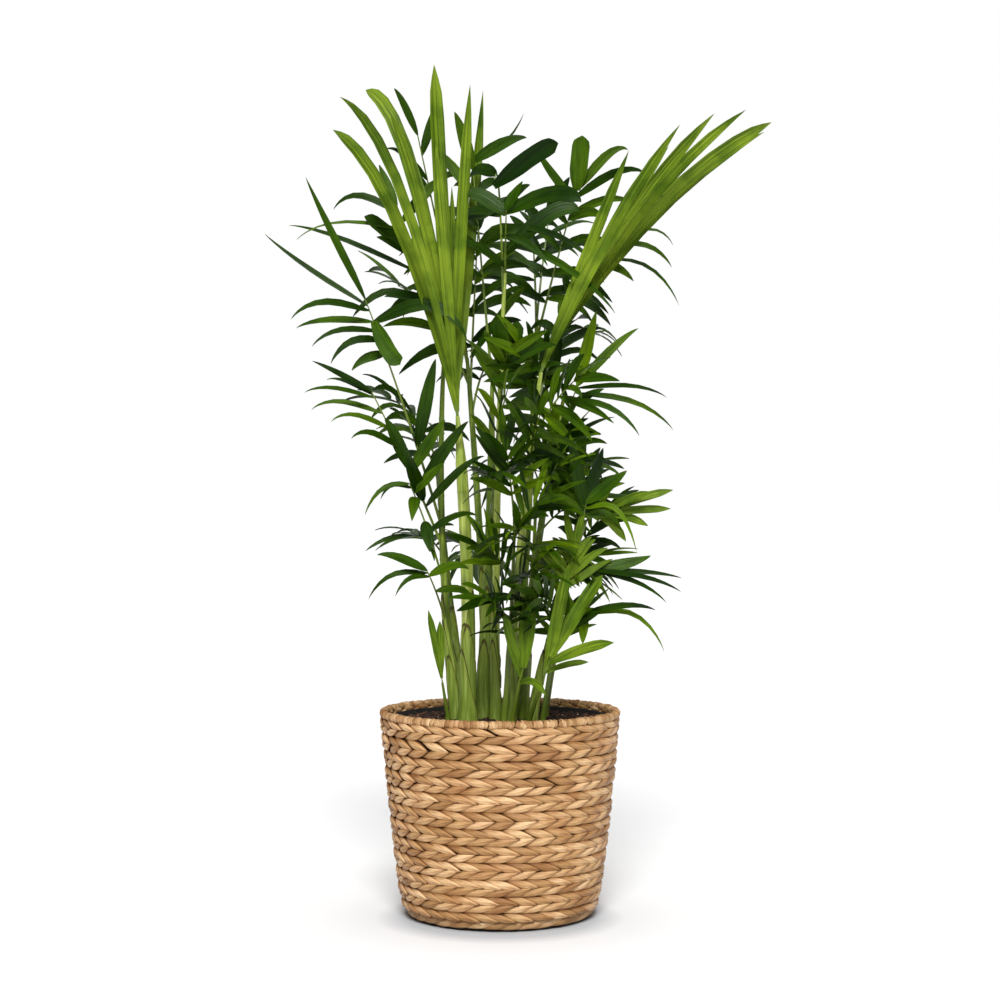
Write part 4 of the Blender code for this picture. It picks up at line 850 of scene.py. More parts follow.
# The fronds. Each has a grooved rib that leaves its cane and arches over, and thin folded leaflets in
# pairs along it. They follow the solids' rule with more leaflets, bent and drooping.
Frond = namedtuple("Frond", "stem node tip arch facing bare pairs length width spread fall last young")
FRONDS = {
    "fan_left": Frond("stem_2", 496, (-63, -12, 705), 0.0, 90, 0.1, 0, 200, 15, 15, 0.0, 0.0, True),
    "fan_right": Frond("stem_5", 538, (160, -40, 712), 0.1, 90, 0.1, 0, 185, 11, 12, 0.0, 0.0, True),
    "frond_1": Frond("stem_8", 552, (-84, 40, 785), 0.0, 60, 0.5, 2, 66, 10, 50, 0.35, 0.0, False),
    "frond_2": Frond("stem_3", 530, (-28, 28, 755), 0.0, 65, 0.5, 3, 62, 12, 52, 0.35, 0.0, False),
    "frond_3": Frond("stem_4", 640, (6, -60, 694), 0.03, 65, 0.25, 0, 76, 12, 48, 0.25, 0.0, False),
    "frond_4": Frond("stem_1", 560, (-104, 12, 706), 0.03, 65, 0.3, 2, 60, 12, 50, 0.3, 0.0, False),
    "frond_5": Frond("stem_8", 530, (-108, 118, 640), 0.14, 0, 0.35, 4, 84, 12, 50, 0.4, 0.8, False),
    "frond_6": Frond("stem_1", 385, (-133, -24, 611), 0.03, 70, 0.45, 0, 100, 10, 50, 0.4, 0.0, False),
    "frond_7": Frond("stem_1", 365, (-126, -34, 519), 0.03, 60, 0.4, 0, 84, 8, 46, 0.4, 0.0, False),
    "frond_8": Frond("stem_1", 325, (-89, -28, 429), 0.06, 60, 0.3, 0, 60, 9, 54, 0.4, 0.0, False),
    "frond_9": Frond("stem_1", 285, (-72, -26, 343), 0.06, 55, 0.3, 0, 64, 10, 50, 0.4, 0.0, False),
    "frond_10": Frond("stem_4", 605, (-6, -16, 724), 0.5, 75, 0.2, 1, 60, 11, 44, 0.3, 0.0, False),
    "frond_11": Frond("stem_8", 520, (-23, 100, 698), 0.05, 35, 0.25, 3, 82, 13, 56, 0.35, 0.7, False),
    "frond_12": Frond("stem_9", 600, (51, 90, 707), 0.05, 40, 0.15, 3, 84, 12, 54, 0.35, 0.7, False),
    "frond_13": Frond("stem_9", 575, (77, 10, 724), 0.02, 70, 0.25, 3, 66, 12, 58, 0.35, 0.0, False),
    "frond_14": Frond("stem_9", 555, (122, 20, 676), 0.08, 50, 0.4, 2, 58, 11, 52, 0.4, 0.0, False),
    "frond_15": Frond("stem_5", 498, (66, 12, 584), 0.1, 55, 0.3, 3, 70, 12, 50, 0.4, 0.9, False),
    "frond_16": Frond("stem_4", 500, (8, -54, 566), 0.05, 70, 0.3, 3, 72, 12, 42, 0.15, 0.0, False),
    "frond_17": Frond("stem_6", 490, (30, -34, 552), 0.08, 65, 0.3, 4, 72, 12, 40, 0.15, 1.0, False),
    "frond_18": Frond("stem_3", 430, (8, -82, 522), 0.08, 60, 0.3, 4, 74, 10, 42, 0.2, 0.8, False),
    "frond_19": Frond("stem_5", 430, (38, -104, 494), 0.1, 55, 0.3, 4, 74, 10, 44, 0.25, 0.8, False),
    "frond_20": Frond("stem_6", 455, (77, -15, 526), 0.04, 70, 0.35, 2, 58, 10, 48, 0.25, 0.0, False),
    "frond_21": Frond("stem_6", 400, (74, 50, 478), 0.1, 15, 0.3, 3, 66, 10, 48, 0.3, 0.9, False),
    "frond_22": Frond("stem_7", 375, (84, -50, 410), 0.04, 70, 0.2, 0, 62, 10, 52, 0.3, 0.0, False),
    "frond_23": Frond("stem_7", 392, (100, -30, 400), 0.08, 60, 0.2, 0, 74, 9, 34, 0.1, 0.0, True),
    "frond_24": Frond("stem_7", 335, (92, -42, 344), 0.1, 60, 0.35, 0, 66, 9, 48, 0.4, 0.0, False),
    "frond_25": Frond("stem_7", 285, (84, -54, 302), 0.14, 55, 0.3, 0, 74, 8, 42, 0.4, 0.0, False),
    "frond_26": Frond("stem_9", 590, (34, 150, 706), 0.14, -20, 0.3, 4, 86, 12, 54, 0.4, 0.8, False),
    "frond_27": Frond("stem_8", 560, (-56, 156, 672), 0.14, -20, 0.25, 4, 86, 12, 54, 0.4, 0.8, False),
    "frond_28": Frond("stem_9", 520, (88, 140, 590), 0.14, -10, 0.35, 3, 82, 12, 54, 0.4, 0.8, False),
    "frond_29": Frond("stem_8", 500, (-6, 166, 560), 0.16, -15, 0.35, 3, 80, 12, 54, 0.4, 0.8, False),
    "frond_30": Frond("stem_10", 455, (-118, 132, 520), 0.14, -10, 0.25, 4, 78, 12, 52, 0.4, 0.8, False),
    "frond_31": Frond("stem_10", 430, (-86, 22, 482), 0.12, 10, 0.35, 4, 66, 10, 50, 0.35, 0.8, False),
    "frond_32": Frond("stem_6", 400, (89, 30, 449), 0.14, 0, 0.35, 3, 64, 11, 52, 0.4, 0.8, False),
    "frond_33": Frond("stem_9", 420, (16, 156, 446), 0.16, -10, 0.4, 3, 74, 11, 54, 0.4, 0.8, False),
    "frond_34": Frond("stem_10", 350, (-84, 14, 376), 0.14, 10, 0.35, 4, 64, 10, 52, 0.35, 0.8, False),
    "frond_35": Frond("stem_8", 330, (-26, 142, 350), 0.16, -10, 0.4, 4, 62, 11, 52, 0.4, 0.8, False),
    "frond_36": Frond("stem_6", 320, (85, 10, 338), 0.16, 0, 0.35, 4, 58, 10, 52, 0.4, 0.8, False),
    "frond_37": Frond("stem_3", 395, (-2, -86, 440), 0.1, 55, 0.35, 4, 70, 10, 42, 0.2, 0.9, False),
    "frond_38": Frond("stem_5", 470, (72, -78, 528), 0.08, 55, 0.3, 3, 66, 11, 46, 0.25, 0.9, False),
}

# Blades that show singly have their own rows: the place on the rib, the tip, the width and how far
# the blade bows up between them.
Blade = namedtuple("Blade", "place tip width bow")
BLADES = {
    "fan_left": (
        Blade(0.36, (-70, -10, 846), 15, 0), Blade(0.30, (-132, -16, 820), 15, 62),
        Blade(0.14, (-154, -24, 813), 10, 56), Blade(0.20, (-148, -4, 801), 9, 50),
        Blade(0.03, (-161, -22, 781), 13, 50), Blade(0.22, (-30, 0, 829), 11, 0),
        Blade(0.10, (-15, -18, 819), 12, 0), Blade(0.24, (-112, 6, 800), 11, 36),
        Blade(0.08, (-92, -20, 745), 10, 24), Blade(0.02, (-52, -20, 724), 10, 0),
        Blade(0.12, (-66, 4, 770), 11, 8), Blade(0.05, (-36, -14, 744), 10, 0),
    ),
    "fan_right": (
        Blade(0.02, (125, -52, 754), 12, 0), Blade(0.06, (140, -32, 742), 9, 4),
        Blade(0.05, (174, -52, 780), 12, 12), Blade(0.10, (170, -28, 760), 9, 12),
        Blade(0.12, (209, -48, 791), 12, 18), Blade(0.14, (202, -24, 775), 9, 16),
        Blade(0.18, (227, -36, 787), 11, 20), Blade(0.22, (243, -44, 793), 11, 22),
        Blade(0.28, (266, -36, 785), 13, 24), Blade(0.16, (264, -22, 775), 11, 26),
        Blade(0.03, (112, -40, 690), 10, 6),
    ),
    "frond_1": (
        Blade(1.0, (-108, 36, 832), 8, 4), Blade(0.92, (-62, 34, 818), 10, 2),
        Blade(0.82, (-116, 30, 768), 9, 8),
    ),
    "frond_2": (
        Blade(1.0, (27, 20, 779), 14, 5), Blade(1.0, (24, 30, 806), 5, -12),
        Blade(0.97, (-46, 24, 806), 13, 2), Blade(0.85, (-68, 20, 768), 11, 5),
    ),
    "frond_3": (
        Blade(1.0, (22, -62, 722), 12, 0), Blade(0.92, (-32, -56, 708), 18, 6),
        Blade(0.96, (79, -60, 701), 16, 12), Blade(0.3, (78, -40, 695), 18, 14),
        Blade(0.1, (-47, -30, 659), 10, 12), Blade(0.6, (46, -50, 640), 9, 8),
    ),
    "frond_4": (
        Blade(1.0, (-122, 20, 752), 10, 0), Blade(0.97, (-167, 4, 703), 8, 16),
        Blade(0.85, (-204, 0, 674), 7, 13), Blade(0.55, (-212, -8, 684), 6, 7),
        Blade(0.66, (-136, -2, 696), 17, 2), Blade(0.9, (-56, 30, 740), 12, 6),
    ),
    "frond_6": (
        Blade(1.0, (-190, -30, 732), 8, -3), Blade(0.97, (-231, -34, 676), 6, -4),
        Blade(0.95, (-205, -40, 589), 8, 14), Blade(0.9, (-202, -20, 583), 8, 6),
        Blade(0.86, (-184, -44, 562), 8, 10), Blade(0.82, (-165, -48, 545), 11, 12),
        Blade(0.76, (-145, -44, 539), 11, 5), Blade(0.9, (-98, -52, 545), 16, -6),
        Blade(0.9, (-32, -54, 567), 15, 28), Blade(0.35, (-62, -40, 551), 14, 4),
    ),
    "frond_7": (
        Blade(1.0, (-184, -40, 550), 8, 1), Blade(0.98, (-171, -30, 531), 6, 5),
        Blade(0.96, (-191, -46, 517), 6, 7), Blade(0.86, (-184, -50, 500), 7, 10),
        Blade(0.76, (-165, -46, 488), 7, 10), Blade(0.64, (-145, -50, 472), 7, 10),
        Blade(0.5, (-113, -54, 492), 13, 4), Blade(0.3, (-92, -48, 470), 14, -4),
        Blade(0.48, (-53, -46, 491), 13, 2), Blade(0.36, (-31, -62, 490), 13, 4),
        Blade(0.26, (-15, -62, 456), 11, 6),
    ),
    "frond_8": (
        Blade(1.0, (-133, -36, 397), 7, 14), Blade(0.95, (-118, -24, 413), 6, 10),
        Blade(0.85, (-86, -46, 392), 12, 5), Blade(0.6, (-68, -46, 362), 13, 2),
        Blade(0.9, (-54, -40, 450), 12, 0), Blade(0.5, (-22, -62, 398), 11, 6),
    ),
    "frond_9": (
        Blade(1.0, (-121, -34, 359), 11, 4), Blade(0.95, (-129, -40, 315), 7, 14),
        Blade(0.88, (-103, -28, 317), 6, 10), Blade(0.9, (-30, -62, 346), 11, 6),
        Blade(0.6, (-26, -60, 317), 10, 6),
    ),
    "frond_10": (
        Blade(1.0, (58, -32, 763), 18, 5), Blade(0.72, (-30, -28, 731), 13, 7),
        Blade(0.25, (114, -42, 596), 8, 12), Blade(0.4, (-35, -20, 691), 14, -2),
        Blade(0.3, (102, -40, 630), 7, 18),
    ),
    "frond_11": (
        Blade(0.2, (26, 30, 628), 17, 3),
    ),
    "frond_13": (
        Blade(1.0, (82, 2, 778), 18, 0), Blade(1.0, (128, -6, 761), 10, 12),
        Blade(0.95, (145, -8, 736), 10, 12), Blade(0.93, (34, -8, 767), 9, -3),
        Blade(0.84, (134, -2, 708), 10, 10),
    ),
    "frond_14": (
        Blade(1.0, (174, 10, 668), 5, 14), Blade(0.95, (172, 4, 645), 7, 12),
        Blade(0.8, (180, 0, 607), 5, 20), Blade(0.92, (96, -2, 648), 13, 6),
    ),
    "frond_16": (
        Blade(0.6, (-2, -68, 588), 16, 0), Blade(0.6, (17, -70, 586), 16, 0),
    ),
    "frond_20": (
        Blade(1.0, (96, -20, 600), 13, 0), Blade(1.0, (136, -26, 583), 10, 4),
        Blade(0.97, (164, -30, 513), 6, 8), Blade(0.9, (170, -38, 480), 6, 14),
        Blade(0.82, (137, -34, 475), 7, 12),
    ),
    "frond_22": (
        Blade(1.0, (124, -56, 441), 13, 0), Blade(0.95, (100, -52, 464), 12, 0),
        Blade(0.8, (67, -50, 481), 14, 0), Blade(0.9, (42, -62, 458), 13, 0),
        Blade(0.85, (133, -64, 361), 6, 26), Blade(0.7, (38, -66, 412), 13, 6),
        Blade(0.6, (118, -56, 384), 9, 10),
    ),
    "frond_23": (
        Blade(1.0, (171, -30, 423), 9, 2), Blade(0.97, (168, -36, 405), 8, 1),
        Blade(0.88, (150, -24, 420), 8, 3), Blade(0.84, (146, -34, 388), 8, 4),
        Blade(0.7, (116, -30, 440), 9, 2), Blade(0.6, (124, -36, 372), 9, 6),
    ),
    "frond_24": (
        Blade(1.0, (178, -44, 336), 6, 3), Blade(0.98, (147, -52, 359), 13, -2),
        Blade(0.93, (177, -48, 323), 6, 6), Blade(0.88, (162, -54, 312), 6, 8),
        Blade(0.8, (56, -62, 376), 12, 2),
    ),
    "frond_25": (
        Blade(1.0, (160, -60, 266), 6, 22), Blade(0.95, (80, -66, 274), 10, 0),
        Blade(0.9, (152, -50, 306), 7, 6), Blade(0.7, (50, -64, 332), 11, 2),
    ),
    "shoot_1": (
        Blade(0.9, (-70, -26, 305), 7, 0), Blade(1.0, (-60, -28, 294), 8, 0),
    ),
    "shoot_2": (
        Blade(0.5, (3, -92, 306), 10, 0), Blade(0.9, (30, -92, 331), 15, 0),
        Blade(0.2, (44, -88, 226), 7, 8),
    ),
    "shoot_5": (
        Blade(0.6, (66, -90, 353), 12, 0), Blade(1.0, (97, -94, 342), 14, 2),
        Blade(0.8, (109, -92, 277), 11, 3), Blade(0.5, (85, -88, 258), 6, 3),
    ),
}
SHOOT_FRONDS = (
    Frond("shoot_1", 212, (-58, -24, 240), 0.0, 85, 0.1, 0, 66, 6, 9, 0.0, 0.0, True),
    Frond("shoot_2", 230, (23, -78, 254), 0.04, 85, 0.3, 0, 58, 9, 36, 0.0, 0.0, True),
    Frond("shoot_3", 262, (70, -60, 300), 0.1, 70, 0.3, 3, 50, 8, 38, 0.15, 1.0, False),
    Frond("shoot_3", 284, (38, -76, 322), 0.08, 70, 0.35, 3, 58, 9, 40, 0.15, 0.9, False),
    Frond("shoot_3", 306, (72, -50, 362), 0.04, 75, 0.3, 3, 64, 9, 44, 0.15, 0.9, True),
    Frond("shoot_4", 250, (72, 74, 300), 0.12, 20, 0.35, 3, 50, 9, 46, 0.25, 0.9, False),
    Frond("shoot_4", 300, (56, 86, 350), 0.12, 10, 0.3, 3, 62, 10, 46, 0.3, 0.9, False),
    Frond("shoot_4", 340, (108, 46, 400), 0.1, 25, 0.3, 3, 60, 10, 44, 0.3, 0.9, False),
    Frond("shoot_4", 370, (84, 66, 436), 0.08, 25, 0.3, 3, 62, 10, 44, 0.25, 0.9, False),
    Frond("shoot_5", 230, (49, -82, 262), 0.04, 75, 0.3, 0, 66, 9, 26, 0.0, 0.0, True),
    Frond("shoot_6", 268, (10, -76, 298), 0.12, 50, 0.35, 3, 58, 9, 42, 0.18, 0.9, False),
    Frond("shoot_6", 290, (-14, -84, 318), 0.12, 55, 0.3, 4, 58, 9, 40, 0.18, 0.9, False),
    Frond("shoot_6", 312, (34, -92, 342), 0.12, 50, 0.35, 4, 64, 9, 42, 0.18, 0.9, False),
    Frond("shoot_6", 334, (-20, -80, 368), 0.12, 60, 0.35, 4, 58, 9, 38, 0.15, 0.9, False),
    Frond("shoot_6", 356, (16, -98, 386), 0.1, 55, 0.35, 4, 66, 9, 40, 0.15, 0.9, False),
    Frond("shoot_6", 376, (44, -86, 416), 0.1, 60, 0.35, 3, 66, 9, 40, 0.15, 0.9, False),
    Frond("shoot_6", 396, (6, -66, 462), 0.04, 75, 0.3, 4, 62, 9, 42, 0.15, 0.8, False),
    Frond("shoot_7", 300, (22, -74, 314), 0.12, 50, 0.4, 3, 60, 9, 42, 0.18, 0.9, False),
    Frond("shoot_7", 326, (90, -4, 356), 0.12, 30, 0.35, 3, 60, 9, 46, 0.2, 0.9, False),
    Frond("shoot_7", 350, (30, -90, 366), 0.12, 55, 0.4, 4, 64, 9, 42, 0.15, 0.9, False),
    Frond("shoot_7", 374, (88, 2, 416), 0.1, 30, 0.35, 4, 62, 9, 46, 0.2, 0.9, False),
    Frond("shoot_7", 398, (56, -86, 444), 0.1, 60, 0.35, 4, 64, 9, 42, 0.15, 0.9, False),
    Frond("shoot_7", 426, (56, -46, 478), 0.06, 70, 0.3, 4, 60, 9, 44, 0.15, 0.8, False),
)
RIB_BEND = 0.45
RIB_BASE = 1.1 * MM
RIB_GAIN = 2.4 * MM
RIB_END = 0.6 * MM
RIB_STEPS = 22
RIB_SIDES = 8
MORE_PAIRS = 1.25
LAST_PLACE = 0.94
END_PLACE = 0.985
DEPTH_SHARE = 0.34
DEPTH_TURN = 2.4
BLADE_STATIONS = (0.0, 0.08, 0.22, 0.38, 0.54, 0.69, 0.81, 0.9, 0.95, 0.985, 1.0)
BLUNT_WIDTH = 13 * MM
BLUNT_FROM = 0.86
BOW_RISE = 1.3
BOW_FALL = 0.8
BOW_GAIN = 4.04
SWAY = math.radians(13)
SWAY_TURN = 1.7


def frond_line(frond, share):
    """A point on a frond's rib, from inside its cane to its tip."""
    stem = STEMS.get(frond.stem) or SHOOTS[frond.stem]
    rise = frond.node * MM - SOIL_SOLID_TOP - GAP
    top = stem.head[2] * MM - SOIL_SOLID_TOP - GAP
    start, _ = cane_place(stem, min(rise, top))
    tip = Vector(frond.tip) * MM
    span = tip - start
    bend = start + span * RIB_BEND + UP * span.length * frond.arch * 2
    return start * (1 - share) ** 2 + bend * 2 * share * (1 - share) + tip * share ** 2


class Sprays:
    """Many thin pieces gathered into one mesh, with a place across and along each as UVs."""

    def __init__(self):
        self.corners = []
        self.faces = []
        self.places = []

    def add_row(self, points, across, along):
        """Adds a ring of points and returns its first number."""
        first = len(self.corners)
        self.corners.extend(points)
        self.places.extend((share, along) for share in across)
        return first

    def bridge(self, low, high, count):
        """Faces between two rings of count points."""
        for step in range(count):
            after = (step + 1) % count
            self.faces.append((low + step, low + after, high + after, high + step))

    def mesh(self, name, sharp=50.0):
        """The gathered pieces as one smooth-shaded mesh."""
        made = bpy.data.meshes.new(name)
        made.from_pydata(self.corners, [], self.faces)
        layer = made.uv_layers.new(name="blade")
        loops = [value for loop in made.loops for value in self.places[loop.vertex_index]]
        layer.data.foreach_set("uv", loops)
        made.shade_smooth()
        made.set_sharp_from_angle(angle=math.radians(sharp))
        return made


def spindle(share):
    """Width share of a leaflet that is widest below its middle and runs to a long point."""
    return max(0.2 if share < 0.3 else 0.0, math.sin(math.pi * share ** 0.76) ** 0.72)


def strap(share, narrows):
    """Width share of a blade that stays broad up to where it narrows to its point."""
    return min(1.0, 0.4 + 2 * share) * (1 - max(0.0, (share - narrows) / (1 - narrows)) ** 1.6)


def add_blade(sprays, root, along, face, across, length, width, fall, sweep, twist, bow=0.0, young=False,
              narrows=None):
    """One leaflet: a thin folded blade that narrows to its root and to a point."""
    places = []
    for share in BLADE_STATIONS:
        arc = 4 * share * (1 - share) if young else BOW_GAIN * share ** BOW_RISE * (1 - share) ** BOW_FALL
        rise = bow * arc - length * fall * (share ** 2.4 * 1.25 - share * 0.25)
        place = root + along * length * share + UP * rise
        places.append(place + across * length * sweep * share ** 2)
    rows = []
    for number, share in enumerate(BLADE_STATIONS[:-1]):
        direction = (places[number + 1] - places[max(number - 1, 0)]).normalized()
        side = direction.cross(face).normalized()
        upper = side.cross(direction).normalized()
        turn = Matrix.Rotation(twist * (0.3 + 0.7 * share), 3, direction)
        side = turn @ side
        upper = turn @ upper
        wide = width / 2 * (strap(share, narrows) if narrows else spindle(share))
        lift = upper * wide * (0.6 - 0.35 * min(share / 0.35, 1.0))
        middle = places[number]
        rows.append(sprays.add_row([
            middle - side * wide + lift,
            middle - side * wide * 0.5 + lift * 0.62,
            middle,
            middle + side * wide * 0.5 + lift * 0.62,
            middle + side * wide + lift,
            middle - upper * BLADE_DEPTH,
        ], (0.0, 0.25, 0.5, 0.75, 1.0, 0.5), share))
    for low, high in zip(rows, rows[1:]):
        sprays.bridge(low, high, 6)
    sprays.faces.append(tuple(range(rows[0] + 5, rows[0] - 1, -1)))
    tip = sprays.add_row([places[-1]], (0.5,), 1.0)
    for column in range(6):
        sprays.faces.append((rows[-1] + column, rows[-1] + (column + 1) % 6, tip))


def leaned(tip, root, number):
    """A tip moved to the front or back along the line from the eye, by turns."""
    eye = Vector((0.0, -CAMERA_DISTANCE, CAMERA_HEIGHT))
    shift = (tip - root).length * DEPTH_SHARE * math.sin(number * DEPTH_TURN)
    return eye + (tip - eye) * (1 + shift / (tip.y - eye.y))


def add_named_blades(sprays_dealt, owner, frond, chance):
    """Adds the blades that have their own rows, each from its place on the rib to its tip."""
    facing = math.radians(frond.facing)
    face = Vector((0.0, -math.sin(facing), math.cos(facing)))
    for number, row in enumerate(BLADES[owner]):
        root = frond_line(frond, row.place)
        reach = leaned(Vector(row.tip) * MM, root, number) - root
        along = reach.normalized()
        across = along.cross(face).normalized()
        blunt = row.width * MM >= BLUNT_WIDTH + (0 if frond.young else 3 * MM)
        narrows = BLUNT_FROM if blunt else 0.74 if frond.young else None
        add_blade(chance.choice(sprays_dealt), root, along, face, across, reach.length, row.width * MM, 0.0,
                  chance.uniform(-0.02, 0.02), chance.gauss(0.0, 0.42 if frond.young else 0.3), row.bow * MM,
                  frond.young, narrows)


def leaflet_plan(frond):
    """Place, side, angle and length share of each leaflet, in pairs from the lowest to the tip."""
    plan = []
    pairs = round(frond.pairs * MORE_PAIRS)
    for pair in range(pairs):
        share = pair / max(pairs - 1, 1)
        place = frond.bare + (LAST_PLACE - frond.bare) * (pair + 0.2) / pairs
        if frond.young:
            reach = 1.0 - 0.35 * share
            angle = frond.spread * (1.1 - 0.4 * share)
        else:
            swell = math.sin(math.pi * (0.2 + 0.7 * share))
            reach = 1.0 - 0.26 * (1.0 - swell)
            angle = frond.spread * (1.3 - 0.55 * share)
        for side in (-1, 1):
            plan.append((place + 0.012 * side, side, angle, reach))
    if frond.last:
        for side in (-1, 1):
            plan.append((END_PLACE, side, frond.spread * 0.3, frond.last))
    return plan


def grow_leaflets(sprays_dealt, frond, chance):
    """Adds a frond's ruled leaflets, dealt out to the sprays of its greens."""
    facing = math.radians(frond.facing)
    face = Vector((0.0, -math.sin(facing), math.cos(facing)))
    for place, side, angle, reach in leaflet_plan(frond):
        root = frond_line(frond, place)
        direction = (frond_line(frond, min(place + 0.02, 1.0)) - frond_line(frond, place - 0.02)).normalized()
        across = direction.cross(face).normalized()
        upper = across.cross(direction).normalized()
        length = frond.length * MM * reach * chance.uniform(0.86, 1.08)
        width = frond.width * MM * chance.uniform(0.75, 1.0)
        fall = frond.fall * chance.uniform(0.5, 1.5) * (0.5 if place == END_PLACE else 1.0)
        lean = math.radians(angle + chance.uniform(-0.12, 0.12) * frond.spread)
        lean += side * SWAY * math.sin(frond.node * SWAY_TURN)
        lift = 0.12 * (1 - place) + chance.uniform(-0.3, 0.42)
        along = direction * math.cos(lean) + across * side * math.sin(lean) + upper * lift
        along.normalize()
        sweep = -side * chance.uniform(0.0, 0.12) * (0.2 if frond.young else 1.0)
        twist = chance.gauss(0.0, 0.55) * (0.4 if frond.young else 1.0)
        add_blade(chance.choice(sprays_dealt), root + upper * 0.3 * MM, along, upper, across, length, width,
                  fall, sweep, twist)


def add_rib(sprays, frond):
    """Adds a frond's rib: a tapered stalk, flat and grooved on its upper side."""
    facing = math.radians(frond.facing)
    face = Vector((0.0, -math.sin(facing), math.cos(facing)))
    length = (frond_line(frond, 1.0) - frond_line(frond, 0.0)).length
    base = RIB_BASE + RIB_GAIN * length
    rows = []
    for step in range(RIB_STEPS + 1):
        share = step / RIB_STEPS
        centre = frond_line(frond, share)
        direction = (frond_line(frond, min(share + 0.02, 1.0)) - frond_line(frond, max(share - 0.02, 0.0))).normalized()
        across = direction.cross(face).normalized()
        upper = across.cross(direction).normalized()
        radius = base + (RIB_END - base) * share
        points = []
        for side in range(RIB_SIDES):
            turn = 2 * math.pi * (side + 0.5) / RIB_SIDES
            groove = 0.55 if abs(turn - math.pi / 2) < 0.5 else 1.0
            points.append(centre + across * math.cos(turn) * radius + upper * math.sin(turn) * radius * groove)
        rows.append(sprays.add_row(points, [side / RIB_SIDES for side in range(RIB_SIDES)], share))
    for low, high in zip(rows, rows[1:]):
        sprays.bridge(low, high, RIB_SIDES)
    sprays.faces.append(tuple(range(rows[0] + RIB_SIDES - 1, rows[0] - 1, -1)))
    sprays.faces.append(tuple(range(rows[-1], rows[-1] + RIB_SIDES)))


def leaf_finish(name, deep, fresh, roughness, mottle=0.3, pleat_length=1.2):
    """Living leaf: a green that drifts, darker in patches and along its pleats, fine veins, waxy."""
    finish, tree, shader = start_finish(name, roughness)
    drift = speckle(tree, object_place(tree), 9.0, 2.0)
    plain = tinted(tree, drift, [(0.35, deep), (0.68, fresh)])
    pleats = speckle(tree, map_place(tree, "blade", (5.0, pleat_length, 1.0)), 1.0, 3.0)
    pleated = tinted(tree, pleats, [(0.33, (1 - mottle,) * 3), (0.5, (1.0, 1.0, 1.0)), (0.7, (1 + mottle,) * 3)])
    pleated = mixed(tree, "MULTIPLY", 1.0, plain, pleated)
    patches = tinted(tree, speckle(tree, object_place(tree), 34.0, 2.0),
                     [(0.36, (1 - mottle, 1 - mottle * 0.8, 1 - mottle)), (0.56, (1.0, 1.0, 1.0))])
    tree.links.new(mixed(tree, "MULTIPLY", 1.0, pleated, patches), shader.inputs["Base Color"])
    veins = tree.nodes.new("ShaderNodeTexWave")
    veins.inputs["Scale"].default_value = 2.2
    veins.inputs["Distortion"].default_value = 0.2
    tree.links.new(map_place(tree, "blade"), veins.inputs["Vector"])
    raised(tree, shader, veins.outputs["Fac"], 0.35, 0.5 * MM)
    shader.inputs["Specular IOR Level"].default_value = 0.1
    return finish


BLADE_DEPTH = 0.45 * MM
LEAVES = {
    "deep": leaf_finish("leaf_deep", (0.006, 0.024, 0.0004), (0.034, 0.086, 0.001), 0.34, 0.36),
    "mid": leaf_finish("leaf_mid", (0.024, 0.07, 0.001), (0.09, 0.168, 0.003), 0.36, 0.36),
    "fresh": leaf_finish("leaf_fresh", (0.08, 0.16, 0.002), (0.16, 0.27, 0.004), 0.38),
    "young": leaf_finish("leaf_young", (0.075, 0.145, 0.005), (0.19, 0.28, 0.017), 0.44, 0.46, 2.0),
}


def tones_of(frond):
    """The greens that a frond's leaflets are dealt: young ones pale, high ones deep, low ones fresher."""
    if frond.young:
        return ("young",)
    if frond.node > 480 or frond.tip[0] < -60:
        return ("deep", "deep", "deep", "mid", "mid")
    return ("deep", "deep", "deep", "mid", "mid", "mid", "fresh")


chance = random.Random(23)
grown = {tone: Sprays() for tone in LEAVES}
grown_for = {tone: set() for tone in LEAVES}
ribs = Sprays()
for owner, frond in list(FRONDS.items()) + [(frond.stem, frond) for frond in SHOOT_FRONDS]:
    deal = tones_of(frond)
    for tone in deal:
        grown_for[tone].add(owner)
    if owner in BLADES:
        add_named_blades([grown[tone] for tone in deal], owner, frond, chance)
    grow_leaflets([grown[tone] for tone in deal], frond, chance)
    add_rib(ribs, frond)
for tone, sprays in grown.items():
    leaves = link_piece("leaflets_" + tone, sprays.mesh("leaflets_" + tone), LEAVES[tone])
    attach(leaves, "root")
    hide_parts(*sorted(grown_for[tone]))
rib_finish, tree, shader = start_finish("rib_green", 0.42)
rib_shade = tinted(tree, speckle(tree, object_place(tree, (1, 1, 0.3)), 60.0),
                   [(0.3, (0.07, 0.125, 0.006)), (0.7, (0.18, 0.25, 0.018))])
tree.links.new(rib_shade, shader.inputs["Base Color"])
raised(tree, shader, speckle(tree, map_place(tree, "blade", (30, 2, 1)), 1.0), 0.2, 0.3 * MM)
rib_piece = link_piece("frond_ribs", ribs.mesh("frond_ribs"), rib_finish)
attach(rib_piece, "root")

# The seedlings' stems are thin green shoots that end in their youngest frond.
shape = bmesh.new()
for stem in SHOOTS.values():
    height = stem.head[2] * MM - SOIL_SOLID_TOP - GAP
    rings = []
    for step in range(25):
        centre, radius = cane_place(stem, height * step / 24)
        ahead, _ = cane_place(stem, min(height * step / 24 + MM, height))
        behind, _ = cane_place(stem, max(height * step / 24 - MM, 0.0))
        rings.append(ring_round(centre, (ahead - behind).normalized(), radius, 10))
    add_rings(shape, rings)
shoots = link_piece("shoot_stems", finished_mesh("shoot_stems", shape), rib_finish)
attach(shoots, "root")
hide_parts(*SHOOTS)

# The canes' feet are wrapped in the papery sheaths of old leaves, one over the other. Each is cut off
# slantwise and dry and brown along its edge.
SHEATH_SIDES = 18
SHEATH_RISES = (0.0, 0.3, 0.6, 0.85, 0.96, 1.0)
SHEATH_WALL = 0.5 * MM


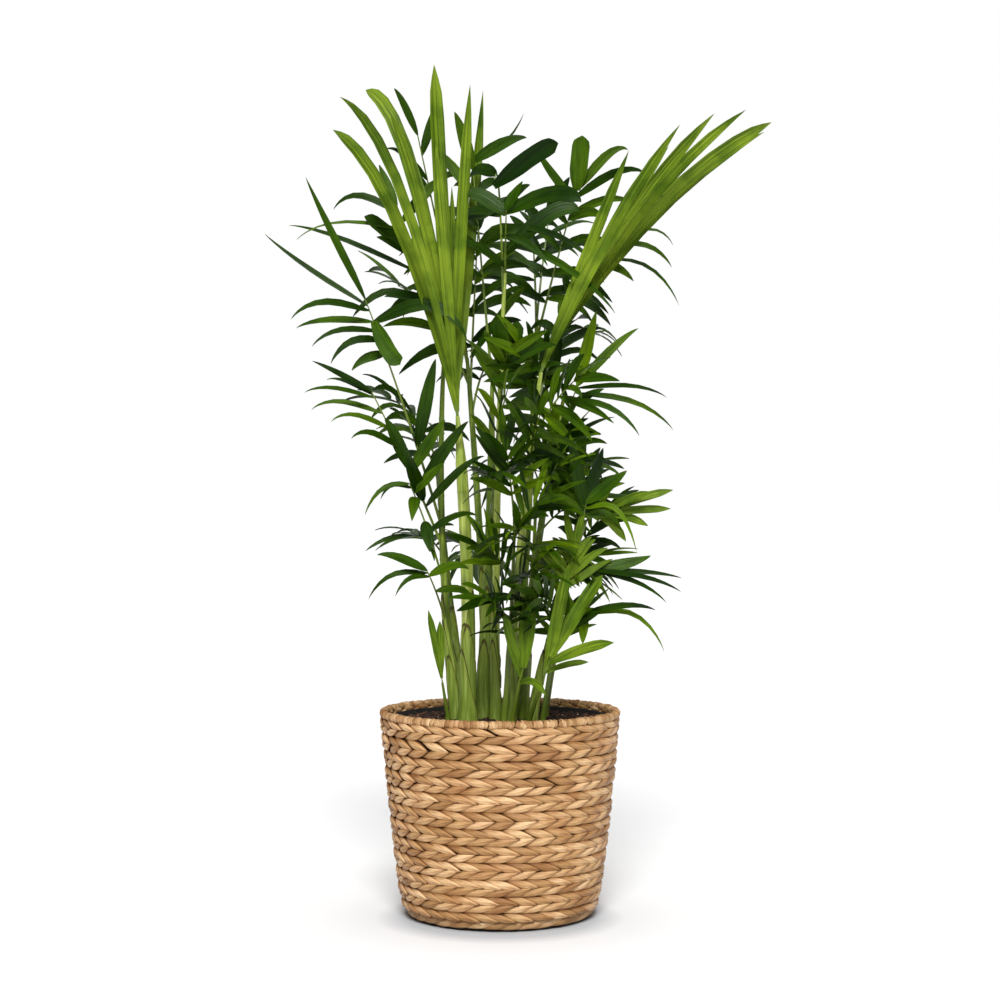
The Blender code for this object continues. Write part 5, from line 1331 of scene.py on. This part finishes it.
def add_sheath(sprays, stem, low, high, looseness, turn):
    """Adds one sheath round a cane between two rises, highest on the side that turn names."""
    rows = []
    for wall in (looseness, looseness - SHEATH_WALL):
        rises = SHEATH_RISES if wall == looseness else SHEATH_RISES[::-1]
        for share in rises:
            points = []
            for side in range(SHEATH_SIDES):
                angle = 2 * math.pi * side / SHEATH_SIDES
                tongue = (0.5 + 0.5 * math.cos(angle - turn)) ** 2.1
                centre, radius = cane_place(stem, low + (high - low) * share * (0.12 + 0.88 * tongue))
                reach = radius + wall * (1 + 0.5 * share)
                points.append(centre + Vector((math.cos(angle), math.sin(angle), 0.0)) * reach)
            across = [side / SHEATH_SIDES for side in range(SHEATH_SIDES)]
            rows.append(sprays.add_row(points, across, share if wall == looseness else 1.0))
    for first, second in zip(rows, rows[1:] + rows[:1]):
        sprays.bridge(first, second, SHEATH_SIDES)


sheath_finish, tree, shader = start_finish("sheath_papery", 0.55)
fibres = speckle(tree, object_place(tree, (1.0, 1.0, 0.05)), 420.0, 3.0)
plain = tinted(tree, fibres, [(0.24, (0.12, 0.2, 0.012)), (0.5, (0.24, 0.34, 0.042)), (0.78, (0.42, 0.53, 0.13))])
edge_place = tree.nodes.new("ShaderNodeSeparateXYZ")
tree.links.new(map_place(tree, "blade"), edge_place.inputs["Vector"])
dry = tinted(tree, edge_place.outputs["Y"],
             [(0.0, (0.8, 0.8, 0.75)), (0.6, (1.0, 1.0, 1.0)), (0.92, (0.95, 0.88, 0.75)), (0.97, (0.26, 0.13, 0.06))])
tree.links.new(mixed(tree, "MULTIPLY", 1.0, plain, dry), shader.inputs["Base Color"])
raised(tree, shader, fibres, 0.3, 0.4 * MM)
shader.inputs["Specular IOR Level"].default_value = 0.3
sheaths = Sprays()
chance = random.Random(9)
for stem in STEMS.values():
    low = 0.5 * MM
    for layer in range(4 if stem.foot_width > 9 else 3):
        high = low + chance.uniform(42, 92) * MM
        add_sheath(sheaths, stem, low, high, (1.25 - 0.25 * layer) * MM, chance.uniform(-2.6, -0.5))
        low += chance.uniform(12, 34) * MM
sheath_piece = link_piece("cane_sheaths", sheaths.mesh("cane_sheaths"), sheath_finish)
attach(sheath_piece, "root")
